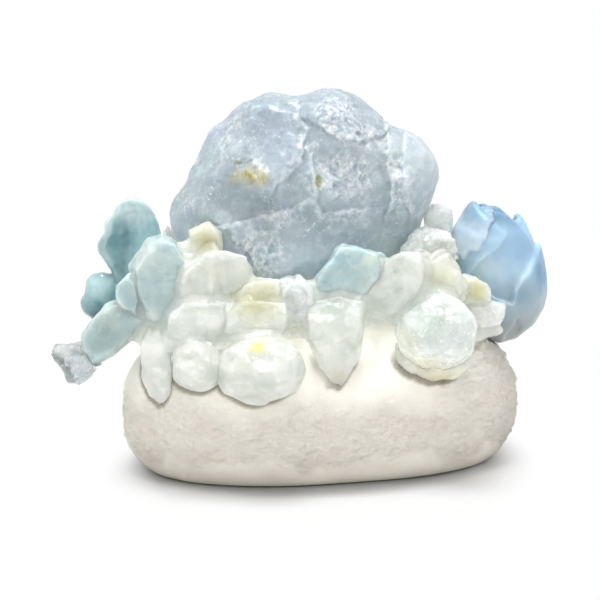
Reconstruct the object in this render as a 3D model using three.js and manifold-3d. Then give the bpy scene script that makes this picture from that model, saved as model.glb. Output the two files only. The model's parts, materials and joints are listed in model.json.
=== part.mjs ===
// A celestite crystal garden: one large lump of celestite standing on a cast white pebble, with a
// collar of tumbled and broken crystal chips, a carved blue blossom and two glazed teal petals.
// Millimetres, +Z up. The front faces -Y, and the pebble stands on its flat underside.

import * as THREE from "three";
import { ConvexGeometry } from "three/addons/geometries/ConvexGeometry.js";
import { mergeVertices } from "three/addons/utils/BufferGeometryUtils.js";
import Module from "manifold-3d";

const wasm = await Module();
wasm.setup();

// Driving dimensions

const glueGap = 0.35; // clear space kept between neighbours, where the real piece has glue
const pebble = {
  centre: [6.2, 0, 20.5],
  half: [56.8, 32.3, 25.5],
  restsAt: 1.6, // how far up the casting is ground flat to stand on
  plan: 2.35, // roundness from above: 2 is an ellipse, more is boxier
  above: 2.35, // and upright, over and under its widest line
  below: 3.5,
  turn: 14, // degrees about Z, the left end comes forward
  wobble: 0.5,
  detail: 7,
};
const celestite = {
  centre: [0.8, 4, 73.8],
  depth: 20.5, // half of it, front to back
  squareness: 2.5,
  faceShare: 0.4, // the share of the depth over which a lump or hollow rises from the outline
  cleaved: 0.9, // how flat a cleavage face is, 1 for a plane
  wobble: 0.4,
  detail: 9,
};

// Finishes

const finish = (colour, roughness) =>
  new THREE.MeshStandardMaterial({ color: colour, roughness, metalness: 0 });
const plaster = finish("#ece6da", 0.95);
const celestiteBlue = finish("#b3c0cb", 0.4);
const aqua = finish("#b4d3d4", 0.3);
const milk = finish("#dfe5e0", 0.35);
const clear = finish("#dde6e6", 0.15);
const honey = finish("#ddd9a6", 0.3);
const blossomBlue = finish("#b3d2ea", 0.3);
const tealGlaze = finish("#7fb9c2", 0.2);

// Small helpers

const radians = THREE.MathUtils.degToRad;
const smooth = THREE.MathUtils.smoothstep;
const bell = (x) => Math.exp(-x * x);

// A repeatable stream of numbers from 0 to 1.
function seeded(seed) {
  let state = seed * 2654435761;
  return () => {
    state = (state + 0x6d2b79f5) | 0;
    let t = Math.imul(state ^ (state >>> 15), 1 | state);
    t = (t + Math.imul(t ^ (t >>> 7), 61 | t)) ^ t;
    return ((t ^ (t >>> 14)) >>> 0) / 4294967296;
  };
}

function solidOf(geometry) {
  const bare = geometry.clone();
  bare.deleteAttribute("normal");
  bare.deleteAttribute("uv");
  const merged = mergeVertices(bare, 1e-4);
  return new wasm.Manifold(
    new wasm.Mesh({
      numProp: 3,
      vertProperties: Float32Array.from(merged.attributes.position.array),
      triVerts: Uint32Array.from(merged.index.array),
    }),
  );
}

function meshOf(name, solid, material, tolerance = 0.12) {
  const data = largestBody(solid.simplify(tolerance)).getMesh();
  const geometry = new THREE.BufferGeometry();
  const points = Float32Array.from(data.vertProperties);
  geometry.setAttribute("position", new THREE.BufferAttribute(points, 3));
  geometry.setIndex(new THREE.BufferAttribute(Uint32Array.from(data.triVerts), 1));
  const faceted = geometry.toNonIndexed();
  faceted.computeVertexNormals();
  const mesh = new THREE.Mesh(faceted, material);
  mesh.name = name;
  return mesh;
}

// A ball whose every unit direction is moved to place(direction).
function ball(detail, place) {
  const geometry = new THREE.IcosahedronGeometry(1, detail);
  const at = geometry.attributes.position;
  const direction = new THREE.Vector3();
  for (let i = 0; i < at.count; i++) {
    direction.fromBufferAttribute(at, i).normalize();
    const point = place(direction);
    at.setXYZ(i, point.x, point.y, point.z);
  }
  return geometry;
}

// Where a ray from the middle in that direction leaves a rounded box, whose plan and upright
// sections are superellipses of those powers.
function onRoundedBox(direction, half, plan, upright = plan) {
  const [x, y, z] = direction.toArray().map((d, i) => Math.abs(d / half[i]));
  const sum = (x ** plan + y ** plan) ** (upright / plan) + z ** upright;
  return direction.clone().multiplyScalar(sum ** (-1 / upright));
}

// Low, slow waves that keep a surface from looking turned or moulded.
function waves(point, scale, seed) {
  const { x, y, z } = point;
  return (
    Math.sin(x * scale + 1.7 * seed) * Math.cos(y * scale * 1.3 + seed) +
    Math.sin(z * scale * 1.9 + y * scale + 2.3 * seed) * 0.6 +
    Math.cos((x + z) * scale * 2.3 - seed) * 0.4
  );
}

// The same solid a little larger all round, to cut its neighbours with.
function grown(solid, gap = glueGap) {
  const { min, max } = solid.boundingBox();
  const middle = min.map((low, i) => (low + max[i]) / 2);
  const scale = min.map((low, i) => 1 + (2 * gap) / (max[i] - low));
  return solid
    .translate(middle.map((c) => -c))
    .scale(scale)
    .translate(middle);
}

// The same, for a shape with hollows: it is smeared a little along each axis.
function padded(solid, gap = 0.5) {
  const shifts = [0, 1, 2].flatMap((axis) =>
    [-gap, gap].map((step) => [0, 1, 2].map((i) => (i === axis ? step : 0))),
  );
  return shifts.reduce((sum, shift) => sum.add(solid.translate(shift)), solid);
}

function largestBody(solid) {
  const bodies = solid.decompose();
  return bodies.reduce((a, b) => (b.volume() > a.volume() ? b : a));
}

function near(a, b) {
  const one = a.boundingBox();
  const two = b.boundingBox();
  return [0, 1, 2].every((i) => one.min[i] < two.max[i] && two.min[i] < one.max[i]);
}

function cutBy(solid, cutters) {
  let left = solid;
  for (const cutter of cutters)
    if (near(left, cutter)) left = largestBody(left.subtract(cutter));
  return left;
}

// The cast pebble

function pebbleBall() {
  const turn = radians(pebble.turn);
  const up = new THREE.Vector3(0, 0, 1);
  const centre = new THREE.Vector3(...pebble.centre);
  return ball(pebble.detail, (direction) => {
    const upright = direction.z < 0 ? pebble.below : pebble.above;
    const point = onRoundedBox(direction, pebble.half, pebble.plan, upright);
    const lift = pebble.wobble * waves(point, 0.06, 1);
    point.addScaledVector(direction, lift);
    return point.applyAxisAngle(up, turn).add(centre);
  });
}

// Everything below the resting face, as one block to cut away.
function groundBlock() {
  const size = 200;
  const block = solidOf(new THREE.BoxGeometry(size, size, size));
  return block.translate(0, 0, pebble.restsAt - size / 2);
}

const pebbleSolid = solidOf(pebbleBall()).subtract(groundBlock());
const pebbleCutter = grown(pebbleSolid.simplify(0.3), glueGap + 0.35);

// The celestite lump
// Its front outline, seen square on: [x, z] from its middle, anticlockwise from the right.

const celestiteOutline = [
  [33.9, 0], [37.5, 5.4], [37.8, 12.2], [36.4, 15.3], [33.5, 18.7],
  [25.9, 21.6], [22, 23.8], [18.9, 27], [16.2, 30], [8.8, 32.4],
  [3.5, 31.5], [-1.7, 29.9], [-7.6, 31.6], [-10.6, 30.9], [-14.9, 28.7],
  [-19.2, 27.5], [-21.1, 23.4], [-26.2, 20.9], [-30.2, 12.2], [-32.8, 6.2],
  [-35.6, 2.6], [-37.4, -2.3], [-37.2, -6.5], [-34, -13], [-27, -23],
  [-15, -33], [0, -36], [12, -34], [20, -28], [27, -17],
  [31.6, -9.1],
];

// Lumps (lift above 0) and hollows (below 0) of its front and back: x, z, half width, half height.
const frontRelief = [
  { x: 9, z: 24, wide: 9, tall: 8, lift: 3.5 },
  { x: -15, z: 17, wide: 13, tall: 11, lift: 3 },
  { x: 0.5, z: 23, wide: 4, tall: 11, lift: -4 },
  { x: -11, z: -1, wide: 8, tall: 4, lift: -5 },
  { x: -30, z: -3, wide: 8, tall: 7, lift: 2.5 },
  { x: 31, z: 10, wide: 7, tall: 12, lift: 4 },
  { x: 22.5, z: 12, wide: 3, tall: 12, lift: -3.5 },
  { x: 21, z: -9, wide: 10, tall: 7, lift: -3 },
  { x: 7, z: 7, wide: 8, tall: 6, lift: 2 },
  { x: -6, z: -15, wide: 10, tall: 5, lift: 2 },
];
const backRelief = [
  { x: 12, z: 14, wide: 12, tall: 9, lift: 4 },
  { x: -14, z: 20, wide: 9, tall: 8, lift: 3 },
  { x: -2, z: 8, wide: 4, tall: 16, lift: -4 },
  { x: -22, z: -2, wide: 9, tall: 9, lift: 3.5 },
  { x: 20, z: -10, wide: 10, tall: 6, lift: -3 },
];

// Flat cleavage faces: which way each looks, and how deep it cuts.
const cleavages = [
  { facing: [-0.75, -0.4, 0.55], deep: 3.4 },
  { facing: [-0.2, -0.85, 0.5], deep: 2.6 },
  { facing: [0.5, -0.75, 0.42], deep: 2.6 },
  { facing: [0.35, -0.9, -0.25], deep: 1.8 },
  { facing: [-0.6, -0.75, -0.2], deep: 2.4 },
  { facing: [0.6, 0.55, 0.6], deep: 3.6 },
  { facing: [-0.5, 0.8, 0.35], deep: 3.2 },
  { facing: [0.1, 0.97, -0.2], deep: 2.6 },
  { facing: [-0.85, 0.5, 0], deep: 3 },
];

// How far the outline lies from the middle in the direction of that angle.
function outlineReach(outline, angle) {
  for (let i = 0; i < outline.length; i++) {
    const [ax, az] = outline[i];
    const [bx, bz] = outline[(i + 1) % outline.length];
    const from = Math.atan2(az, ax);
    const span = (Math.atan2(bz, bx) - from + 4 * Math.PI) % (2 * Math.PI);
    const past = (angle - from + 4 * Math.PI) % (2 * Math.PI);
    if (past > span) continue;
    const share = past / span;
    return THREE.MathUtils.lerp(Math.hypot(ax, az), Math.hypot(bx, bz), share);
  }
  return 0;
}

function reliefAt(marks, x, z) {
  return marks.reduce(
    (sum, m) => sum + m.lift * bell((x - m.x) / m.wide) * bell((z - m.z) / m.tall),
    0,
  );
}

function celestitePoint(direction) {
  const inPlane = Math.hypot(direction.x, direction.z);
  const angle = Math.atan2(direction.z, direction.x);
  const reach = outlineReach(celestiteOutline, angle);
  const power = celestite.squareness;
  const sum = inPlane ** power + Math.abs(direction.y) ** power;
  const round = sum ** (-1 / power);
  const x = Math.cos(angle) * reach * inPlane * round;
  const z = Math.sin(angle) * reach * inPlane * round;
  const side = Math.sign(direction.y);
  const marks = side < 0 ? frontRelief : backRelief;
  const face = Math.min(1, Math.abs(direction.y) / celestite.faceShare);
  const point = new THREE.Vector3(
    x,
    celestite.depth * direction.y * round + side * face * reliefAt(marks, x, z),
    z,
  );
  const lift = celestite.wobble * waves(point, 0.31, 4);
  return point.addScaledVector(direction, lift);
}

function celestiteBall() {
  const geometry = ball(celestite.detail, celestitePoint);
  const at = geometry.attributes.position;
  const point = new THREE.Vector3();
  for (const { facing, deep } of cleavages) {
    const normal = new THREE.Vector3(...facing).normalize();
    let furthest = 0;
    for (let i = 0; i < at.count; i++)
      furthest = Math.max(furthest, point.fromBufferAttribute(at, i).dot(normal));
    for (let i = 0; i < at.count; i++) {
      const over = point.fromBufferAttribute(at, i).dot(normal) - (furthest - deep);
      if (over > 0) point.addScaledVector(normal, -celestite.cleaved * over);
      at.setXYZ(i, point.x, point.y, point.z);
    }
  }
  return geometry.translate(...celestite.centre);
}

const celestiteSolid = largestBody(
  solidOf(celestiteBall()).subtract(grown(pebbleSolid)),
);
const celestiteCutter = grown(celestiteSolid.simplify(0.4), glueGap + 0.6);

// The carved blossom
// One closed bud. Each petal is a broad patch of the bud's own round, standing proud of its core.

const blossom = {
  foot: [58, 9, 34.2],
  leanLeft: 8,
  tall: 41.5,
  core: { radius: 10.4, tall: 38.5 },
  thick: 1.9, // of a petal's free lip
  root: 9, // how near the axis the petals reach where they grow together
  overlap: 0.7, // how much further out one side edge of a petal lies than its middle
  narrow: 0.6, // a petal's width at its foot
  broadest: 0.42, // how far up a petal is widest
  round: 0.74, // how much it narrows from there to its tip
  shoulder: 0.24, // how far a petal's corners drop below its tip
  scallop: 0.35,
  sweepFrom: 0.45, // how far up a swept edge starts to turn
};
// The bud's round: [share of its height, share of its width].
const budRound = [
  [0, 0.3], [0.06, 0.6], [0.18, 0.88], [0.33, 1], [0.52, 1], [0.7, 0.94], [0.84, 0.8],
  [0.93, 0.6], [1, 0.36],
];
// around: degrees from the right, anticlockwise from above. wide: half the angle it covers.
// sweep: how far its right edge turns round the bud towards the tip, in degrees for its height.
const petals = [
  { around: 285, wide: 84, reach: 11.9, tall: 38.5, sweep: 0, open: 0 },
  { around: 100, wide: 84, reach: 11.7, tall: 39.8, sweep: 0, open: 0 },
  { around: 22, wide: 60, reach: 12.9, tall: 35.5, sweep: 0, open: 0 },
  { around: 160, wide: 58, reach: 12.8, tall: 41.5, sweep: 170, open: 0 },
  { around: 0, wide: 76, reach: 14.6, tall: 26.5, sweep: 0, open: 0.2 },
  { around: 62, wide: 54, reach: 13.6, tall: 31, sweep: 0, open: 0.2 },
  { around: 128, wide: 62, reach: 14.4, tall: 24, sweep: 0, open: 0.4 },
  { around: 232, wide: 56, reach: 13.9, tall: 19, sweep: 0, open: 0.4 },
];

function budRadius(share) {
  const top = budRound.findIndex(([height]) => height >= share);
  if (top < 1) return budRound[top < 0 ? budRound.length - 1 : 0][1];
  const [[lowAt, low], [highAt, high]] = [budRound[top - 1], budRound[top]];
  return THREE.MathUtils.mapLinear(share, lowAt, highAt, low, high);
}

// across runs from -1 at a petal's left edge to 1 at its right, and up from 0 at its foot to 1.
function petalPoint(petal, across, up, inward) {
  const past = Math.max(0, (up - blossom.broadest) / (1 - blossom.broadest));
  const spread = THREE.MathUtils.lerp(blossom.narrow, 1, smooth(up, 0, blossom.broadest));
  const width = spread * Math.sqrt(1 - (blossom.round * past) ** 2);
  const swept = petal.sweep * Math.max(0, up - blossom.sweepFrom) * ((1 + across) / 2);
  const angle = radians(petal.around + petal.wide * across * width + swept);
  const corner = blossom.shoulder * across ** 2 * smooth(up, 0.5, 1);
  const crest = blossom.scallop * smooth(up, 0.7, 1) * Math.cos(3.5 * Math.PI * across);
  const height = petal.tall * up * (1 - corner) + crest;
  const lip = petal.open * smooth(up, 0.7, 1);
  const radius = petal.reach * budRadius(height / blossom.tall) + blossom.overlap * across + lip;
  const from = Math.max(0.4, radius - inward);
  return new THREE.Vector3(from * Math.cos(angle), from * Math.sin(angle), height);
}

// The closed heart of the bud, a turned shape of the same round.
function budCore() {
  const { radius, tall } = blossom.core;
  const side = budRound.map(([height, share]) => new THREE.Vector2(radius * share, tall * height));
  const foot = new THREE.Vector2(0, 0);
  const top = new THREE.Vector2(0, tall + 1);
  return new THREE.LatheGeometry([foot, ...side, top], 20).rotateX(Math.PI / 2);
}

// A closed skin over a grid of points: front(i, j) one side, back(i, j) the other.
function thickSheet(columns, rows, front, back) {
  const points = [];
  for (const side of [front, back])
    for (let j = 0; j <= rows; j++)
      for (let i = 0; i <= columns; i++) points.push(side(i / columns, j / rows));
  const layer = (columns + 1) * (rows + 1);
  const id = (i, j, side) => side * layer + j * (columns + 1) + i;
  const faces = [];
  const quad = (a, b, c, d) => faces.push(a, b, c, a, c, d);
  for (let j = 0; j < rows; j++)
    for (let i = 0; i < columns; i++) {
      quad(id(i, j, 0), id(i + 1, j, 0), id(i + 1, j + 1, 0), id(i, j + 1, 0));
      quad(id(i, j, 1), id(i, j + 1, 1), id(i + 1, j + 1, 1), id(i + 1, j, 1));
    }
  for (let i = 0; i < columns; i++) {
    quad(id(i, 0, 0), id(i, 0, 1), id(i + 1, 0, 1), id(i + 1, 0, 0));
    quad(id(i, rows, 0), id(i + 1, rows, 0), id(i + 1, rows, 1), id(i, rows, 1));
  }
  for (let j = 0; j < rows; j++) {
    quad(id(0, j, 0), id(0, j + 1, 0), id(0, j + 1, 1), id(0, j, 1));
    quad(id(columns, j, 0), id(columns, j, 1), id(columns, j + 1, 1), id(columns, j + 1, 0));
  }
  const geometry = new THREE.BufferGeometry();
  const flat = Float32Array.from(points.flatMap((p) => p.toArray()));
  geometry.setAttribute("position", new THREE.BufferAttribute(flat, 3));
  geometry.setIndex(faces);
  return geometry;
}

function blossomSolid() {
  let bud = solidOf(budCore());
  for (const petal of petals) {
    const outer = (i, j) => petalPoint(petal, 2 * i - 1, j, 0);
    const inner = (i, j) => {
      const free = smooth(j, 0.5, 0.85);
      const thick = THREE.MathUtils.lerp(petal.reach - blossom.root, blossom.thick, free);
      return petalPoint(petal, 2 * i - 1, j, thick);
    };
    bud = bud.add(solidOf(thickSheet(7, 6, outer, inner)));
  }
  return bud.rotate(0, -blossom.leanLeft, 0).translate(blossom.foot);
}

const blossomBody = largestBody(blossomSolid().subtract(grown(pebbleSolid)));
const blossomCutter = padded(blossomBody);

// The glazed teal petals
// The tall one as stations from the neck to the tip: [height, left edge, right edge].

const teal = {
  neck: [-48.5, -8, 51.5],
  thick: 5.4,
  edge: 0.8, // how much thinner it is at its edges
  valley: 3.8, // depth of the fold down its face
  valleyAt: 0.36, // how far across it the fold lies
  rolled: 1.6, // how far the left edge comes forward
  raised: 2.2, // and the right edge
  hood: { from: 21.2, to: 25.5, forward: 3.2 }, // the tip bends over between those heights
};
const tallPetal = [
  [-1, -1.6, 3], [4.1, -2.8, 5.2], [7.7, -4.7, 8], [11, -6.9, 9.9],
  [12.9, -7.1, 10.7], [15.1, -6.2, 10.8], [16.2, -5, 10.6], [18.3, -5.1, 10.1],
  [20.6, -3.9, 9.3], [21.6, -2.4, 8.9], [23.3, -1.9, 7.9], [25.2, -0.4, 6],
  [26.2, 1.6, 4.2],
];
// The curled one is plump lobes: middle from the neck [x, y, z], and half sizes.
const curledLobes = [
  { at: [-5.9, 0, 0.1], half: [5.2, 3.7, 5.2] },
  { at: [-8.9, -0.3, -3.6], half: [3.4, 2.9, 3.5] },
  { at: [-7.2, 0.2, -5.2], half: [3, 2.7, 3.2] },
  { at: [-1.4, 0, -1.2], half: [3.8, 2.8, 3.8] },
];

function tallPetalPoint(across, up, side) {
  const place = up * (tallPetal.length - 1);
  const low = Math.min(Math.floor(place), tallPetal.length - 2);
  const at = (k) => THREE.MathUtils.lerp(tallPetal[low][k], tallPetal[low + 1][k], place - low);
  const [height, left, right] = [at(0), at(1), at(2)];
  const middle = Math.sin(Math.PI * Math.min(1, up * 1.05));
  const valley = teal.valley * bell((across - teal.valleyAt) / 0.16);
  const edges = teal.rolled * bell(across / 0.2) + teal.raised * smooth(across, 0.5, 1);
  const hood = teal.hood.forward * smooth(height, teal.hood.from, teal.hood.to);
  const half = (teal.thick / 2) * (1 - teal.edge * Math.abs(2 * across - 1) ** 3);
  const y = (valley - edges) * middle - hood + side * half;
  return new THREE.Vector3(THREE.MathUtils.lerp(left, right, across), y, height);
}

function tealSolid() {
  const front = (i, j) => tallPetalPoint(i, j, -1);
  const back = (i, j) => tallPetalPoint(i, j, 1);
  let petalsJoined = solidOf(thickSheet(8, tallPetal.length - 1, front, back));
  for (const { at, half } of curledLobes) {
    const [a, b, c] = half;
    const lobe = ball(2, (d) => new THREE.Vector3(d.x * a, d.y * b, d.z * c));
    petalsJoined = petalsJoined.add(solidOf(lobe).translate(at));
  }
  return petalsJoined.translate(teal.neck);
}

const tealBody = tealSolid();
const tealCutter = padded(tealBody);

// The crystal chips
// A broken chip is the hull of its outline, [x, z] from its middle, and of smaller copies of it
// before and behind. lean slides the front copy, so that no two chips are cut alike.

const broken = {
  front: 0.35, // how far before its outline a chip's flat face lies, as a share of its thickness
  back: 0.72, // size of the copy behind
  uneven: 0.05, // how far corners stray, as a share of the thickness
};
const tumbled = { squareness: 2.25, wobble: 0.25, detail: 2 };

function brokenChip({ at, outline, thick, face = 0.82, lean = [0, 0], turn = [0, 0, 0], seed }) {
  const random = seeded(seed);
  const jitter = () => (2 * random() - 1) * broken.uneven * thick;
  const points = [];
  const ring = (scale, y, slide, skip) =>
    outline.forEach(([x, z], i) => {
      if (skip && i % skip) return;
      const px = x * scale + slide[0] + jitter();
      const pz = z * scale + slide[1] + jitter();
      points.push(new THREE.Vector3(px, y + jitter(), pz));
    });
  ring(1, 0, [0, 0], 0);
  ring(face, -thick * broken.front, lean, 0);
  ring(broken.back, thick / 2, [-lean[0], -lean[1]], 2);
  return solidOf(new ConvexGeometry(points)).rotate(turn).translate(at);
}

function tumbledChip({ at, half, turn = [0, 0, 0], seed }) {
  const shape = ball(tumbled.detail, (direction) => {
    const point = onRoundedBox(direction, half, tumbled.squareness);
    return point.addScaledVector(direction, tumbled.wobble * waves(point, 0.35, seed));
  });
  return solidOf(shape).rotate(turn).translate(at);
}

// Front chips, the foremost first, because each is cut by those before it.
const frontChips = [
  {
    name: "round_quartz_right", stone: clear, shape: tumbledChip,
    at: [36.7, -22.4, 42.6], half: [10.5, 8, 9.7], seed: 3,
  },
  {
    name: "gold_flecked_quartz", stone: clear, shape: tumbledChip,
    at: [-10.5, -36.2, 35.2], half: [11.4, 6.2, 8.3], turn: [-28, -4, 0], seed: 5,
  },
  {
    name: "round_chip_left", stone: milk, shape: tumbledChip,
    at: [-27, -33, 35.9], half: [6.9, 5.4, 6.4], turn: [-25, 0, -15], seed: 8,
  },
  {
    name: "long_chip_left", stone: milk, shape: brokenChip,
    at: [-38.2, -25.5, 35], thick: 8.5, lean: [0.5, 1], turn: [-24, 0, -8], seed: 11,
    outline: [
      [-2.6, 10.6], [-4.4, 6.2], [-4.9, 2.6], [-3.4, -3.6], [-1.4, -8.8], [2.2, -11.4],
      [3.8, -9], [4.2, -3.3], [3.4, 3], [3, 8.2],
    ],
  },
  {
    name: "pointed_chip_centre", stone: milk, shape: brokenChip,
    at: [9.9, -28.6, 41.2], thick: 10.5, lean: [-0.6, 2], turn: [-16, 0, 0], seed: 12,
    outline: [
      [-8, 9], [0, 10.8], [7.7, 9.2], [7.4, 3.8], [6.1, -3], [3.1, -8], [1.8, -12.3],
      [-1.8, -11.4], [-4.6, -6.9], [-7.2, -0.8],
    ],
  },
  {
    name: "low_chip_right", stone: honey, shape: tumbledChip,
    at: [36, -20.8, 36.4], half: [10.6, 5, 6.6], turn: [-38, 0, 6], seed: 13,
  },
  {
    name: "milky_chip_middle", stone: milk, shape: brokenChip,
    at: [-13.3, -28, 45.1], thick: 12, lean: [1, 1.5], seed: 15,
    outline: [
      [-8, 3.5], [-3, 6.6], [4, 5.4], [9.4, 6], [10.4, 0], [6, -6.4], [-2, -5.4], [-8.6, -3],
    ],
  },
  {
    name: "milky_chip_left", stone: milk, shape: brokenChip,
    at: [-26.7, -27.5, 45.3], thick: 12, lean: [-0.5, 1.5], seed: 16,
    outline: [[-8, 2], [-4, 6], [3, 4.8], [8.4, 5.4], [7.4, -2], [3, -6.8], [-4, -6], [-8.8, -3]],
  },
  {
    name: "clear_chip_middle", stone: clear, shape: brokenChip,
    at: [-1.3, -24.6, 52.2], thick: 9, lean: [0.8, -0.8], seed: 17,
    outline: [
      [-4.6, 4.4], [-1, 5.2], [1.3, 6.2], [4.2, 4.2], [4.8, 0], [3.4, -5], [0.2, -7.2],
      [-3.8, -5.6], [-4.6, -0.3],
    ],
  },
  {
    name: "honey_chip_middle", stone: honey, shape: brokenChip,
    at: [-12.6, -23.6, 52.3], thick: 12, lean: [0, 1], seed: 18,
    outline: [
      [-7.8, -1.1], [-4.3, 2.4], [0.3, 4.9], [7, 4.4], [7.8, -1.4], [6.5, -4.6], [-7.3, -4.6],
    ],
  },
  {
    name: "big_milky_chip", stone: milk, shape: brokenChip,
    at: [-23.6, -21.6, 54.1], thick: 14, lean: [1.6, 1.8], seed: 19,
    outline: [
      [-9.4, 5.2], [-4.3, 9.3], [1.6, 11.2], [5.4, 10.4], [8.1, 8.3], [10.8, 3], [10.2, -2.7],
      [7, -7.7], [0, -10.4], [-4.3, -11], [-8.6, -8.8], [-10.8, -3],
    ],
  },
  {
    name: "small_aqua_chip", stone: aqua, shape: brokenChip,
    at: [-46.9, -20.6, 52], thick: 9, lean: [-0.4, 0.6], seed: 21,
    outline: [
      [-2.3, 3.3], [0.8, 6], [3.4, 3.4], [3.6, -1.1], [2.8, -5.4], [0.3, -3.7], [-2, 0],
    ],
  },
  {
    name: "big_aqua_chip", stone: aqua, shape: brokenChip,
    at: [-40, -18.4, 55.3], thick: 14, lean: [1.2, 1.4], seed: 22,
    outline: [
      [-1.1, 11.4], [2.4, 12.5], [6.4, 10.9], [9.9, 4.1], [8.6, -2], [6.7, -8.2], [4.6, -12.2],
      [-0.3, -12.2], [-4.3, -8.6], [-6, -2.4], [-5.4, 4.1], [-3.8, 7.3],
    ],
  },
  {
    name: "aqua_arm", stone: aqua, shape: brokenChip,
    at: [-50.3, -17, 41.2], thick: 11.5, lean: [-0.4, 0.8], seed: 23,
    outline: [
      [-8.9, -1.9], [-7.6, 1.1], [-6, 3.9], [-2.7, 7.7], [0.8, 9.4], [5.7, 8], [9.2, 3.6],
      [4.8, -1.9], [-0.8, -5.8], [-6, -9], [-8.4, -5.8],
    ],
  },
  {
    name: "clear_tip_left", stone: clear, shape: brokenChip,
    at: [-60.6, -16, 32.6], thick: 8.5, lean: [-0.8, 0.4], seed: 24,
    outline: [
      [-6.6, 3.2], [-5.4, 4.7], [2.7, 6], [6.4, 0.3], [3.4, -3.5], [0, -6], [-2.7, -5.6],
    ],
  },
  {
    name: "aqua_chip_centre", stone: aqua, shape: brokenChip,
    at: [12.9, -20.6, 58.6], thick: 12.5, lean: [-0.6, 1], seed: 25,
    outline: [
      [-10.2, -5.2], [-6.2, 1.1], [-3.8, 5.2], [-1.1, 7.4], [1.6, 7.4], [5.1, 5.7], [8.3, 5.2],
      [10.5, 3.3], [10, 1], [8, -5], [2, -11.5], [-5.4, -12.2], [-10.4, -9.5],
    ],
  },
  {
    name: "milky_chip_centre", stone: milk, shape: brokenChip,
    at: [24.8, -19.8, 55], thick: 12.5, lean: [0.4, 1.6], seed: 26,
    outline: [
      [-8.5, 2.2], [-1.9, 5.5], [2.2, 8.5], [7, 8], [8.4, 0.5], [6, -4.6], [1.3, -8.4],
      [-6.4, -9.4], [-10.6, -5.4],
    ],
  },
  {
    name: "pale_chip_right", stone: honey, shape: brokenChip,
    at: [38.1, -15, 55], thick: 12.5, lean: [-0.6, 1.2], seed: 27,
    outline: [
      [-6.5, 5.5], [2.2, 7.7], [5.4, 4.1], [7.1, -0.8], [6.3, -4.9], [1.4, -6.8], [-4.1, -5.2],
      [-6.7, -0.8],
    ],
  },
  {
    name: "clear_chip_right", stone: clear, shape: brokenChip,
    at: [36.4, -10, 64.1], thick: 12, lean: [1.4, -1], seed: 28,
    outline: [
      [-8.8, -2.7], [-8.5, -0.3], [-6.6, 1.1], [-4.7, 3.6], [-1.4, 4.7], [4.4, 4.1], [5.2, 0],
      [4.7, -4.4], [-0.8, -5.7], [-6.3, -4.6],
    ],
  },
  {
    name: "honey_chip_right", stone: honey, shape: brokenChip,
    at: [49, -6.6, 51.3], thick: 9, lean: [0, 0.4], seed: 29,
    outline: [[-3.4, 3.6], [0, 4.1], [2.2, 1.7], [3, -2.2], [0.8, -4.3], [-3.6, -3.8]],
  },
  {
    name: "clear_chip_far_right", stone: clear, shape: brokenChip,
    at: [52, -4.4, 45], thick: 10, lean: [0.4, 0], seed: 30,
    outline: [
      [-5.3, 2.2], [0.3, 3.3], [4.7, 1.9], [4.4, -0.6], [3.3, -3.2], [-1.9, -3.3], [-5.3, -1.6],
    ],
  },
  {
    name: "low_chip_far_right", stone: milk, shape: brokenChip,
    at: [51.8, -3.4, 39.2], thick: 10, lean: [-0.4, 0.4], seed: 31,
    outline: [[-3.9, 3.1], [3.3, 2.7], [3.9, 0.8], [2.2, -1.2], [-3.3, -3.1], [-4.5, 0]],
  },
  {
    name: "white_shard_left", stone: milk, shape: brokenChip,
    at: [-29.8, -14.2, 61], thick: 10, lean: [0, 0], seed: 32,
    outline: [[-4.2, 5], [0, 3.6], [4.2, 2], [3.4, -5.6], [-3.6, -5.2]],
  },
  {
    name: "honey_chip_left", stone: honey, shape: brokenChip,
    at: [-25.1, -16, 66.4], thick: 10, lean: [0, 0.3], seed: 33,
    outline: [[-4.4, 2.8], [0.3, 4.8], [4, 2.4], [4.6, -3.4], [0.4, -7.5], [-4.8, -5]],
  },
];

// Chips at the ends and behind, that hold the upper ones up.
const sideChips = [
  {
    name: "inner_chip_left", stone: milk, shape: brokenChip,
    at: [-38, -4.5, 50], thick: 17, lean: [0, 0], seed: 41,
    outline: [[-7, 6], [0, 10.5], [7, 7], [7.5, -4], [1, -10], [-6.5, -6.5]],
  },
  {
    name: "small_clear_chip_left", stone: clear, shape: brokenChip,
    at: [-35.2, 3.4, 63], thick: 9, lean: [0, 0.6], seed: 42,
    outline: [[-3.4, 2], [-1.6, 5.2], [1.8, 4.6], [3.6, -1], [0.6, -4.4], [-3, -3.2]],
  },
  {
    name: "inner_chip_right", stone: milk, shape: brokenChip,
    at: [38.2, 3.3, 55.8], thick: 16.5, lean: [0, 0.4], seed: 45,
    outline: [[-7, 5.5], [0, 10], [5.6, 6], [6.5, -3.5], [1, -10.5], [-7.5, -7]],
  },
  {
    name: "lilac_chip_right", stone: clear, shape: brokenChip,
    at: [38.6, 6.4, 68.4], thick: 9, lean: [0, 0.4], seed: 44,
    outline: [[-3.6, -3.6], [-3.1, 2.3], [-1.6, 5.2], [0.2, 5.4], [3.9, 3.4], [3.6, -3.6]],
  },
];

// The back of the collar: a row on the pebble's shoulder, and a row above it against the lump.
const collar = {
  middle: [2.2, 4], // of both rows, from above
  fall: 6, // how far the pebble's shoulder falls away to its ends
  size: [0.85, 1.15], // the smallest and largest chip of a row, as shares of the row's size
  corner: 0.75, // how near its middle a chip's corner may lie, as a share of its size
  thick: 1.35,
};
const backRows = [
  { count: 10, from: 6, to: 168, reachX: 41, reachY: 22.5, height: 46.5, size: 9.2, seed: 60 },
  { count: 5, from: 38, to: 142, reachX: 29, reachY: 21, height: 57.5, size: 7.8, seed: 80 },
];

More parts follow.
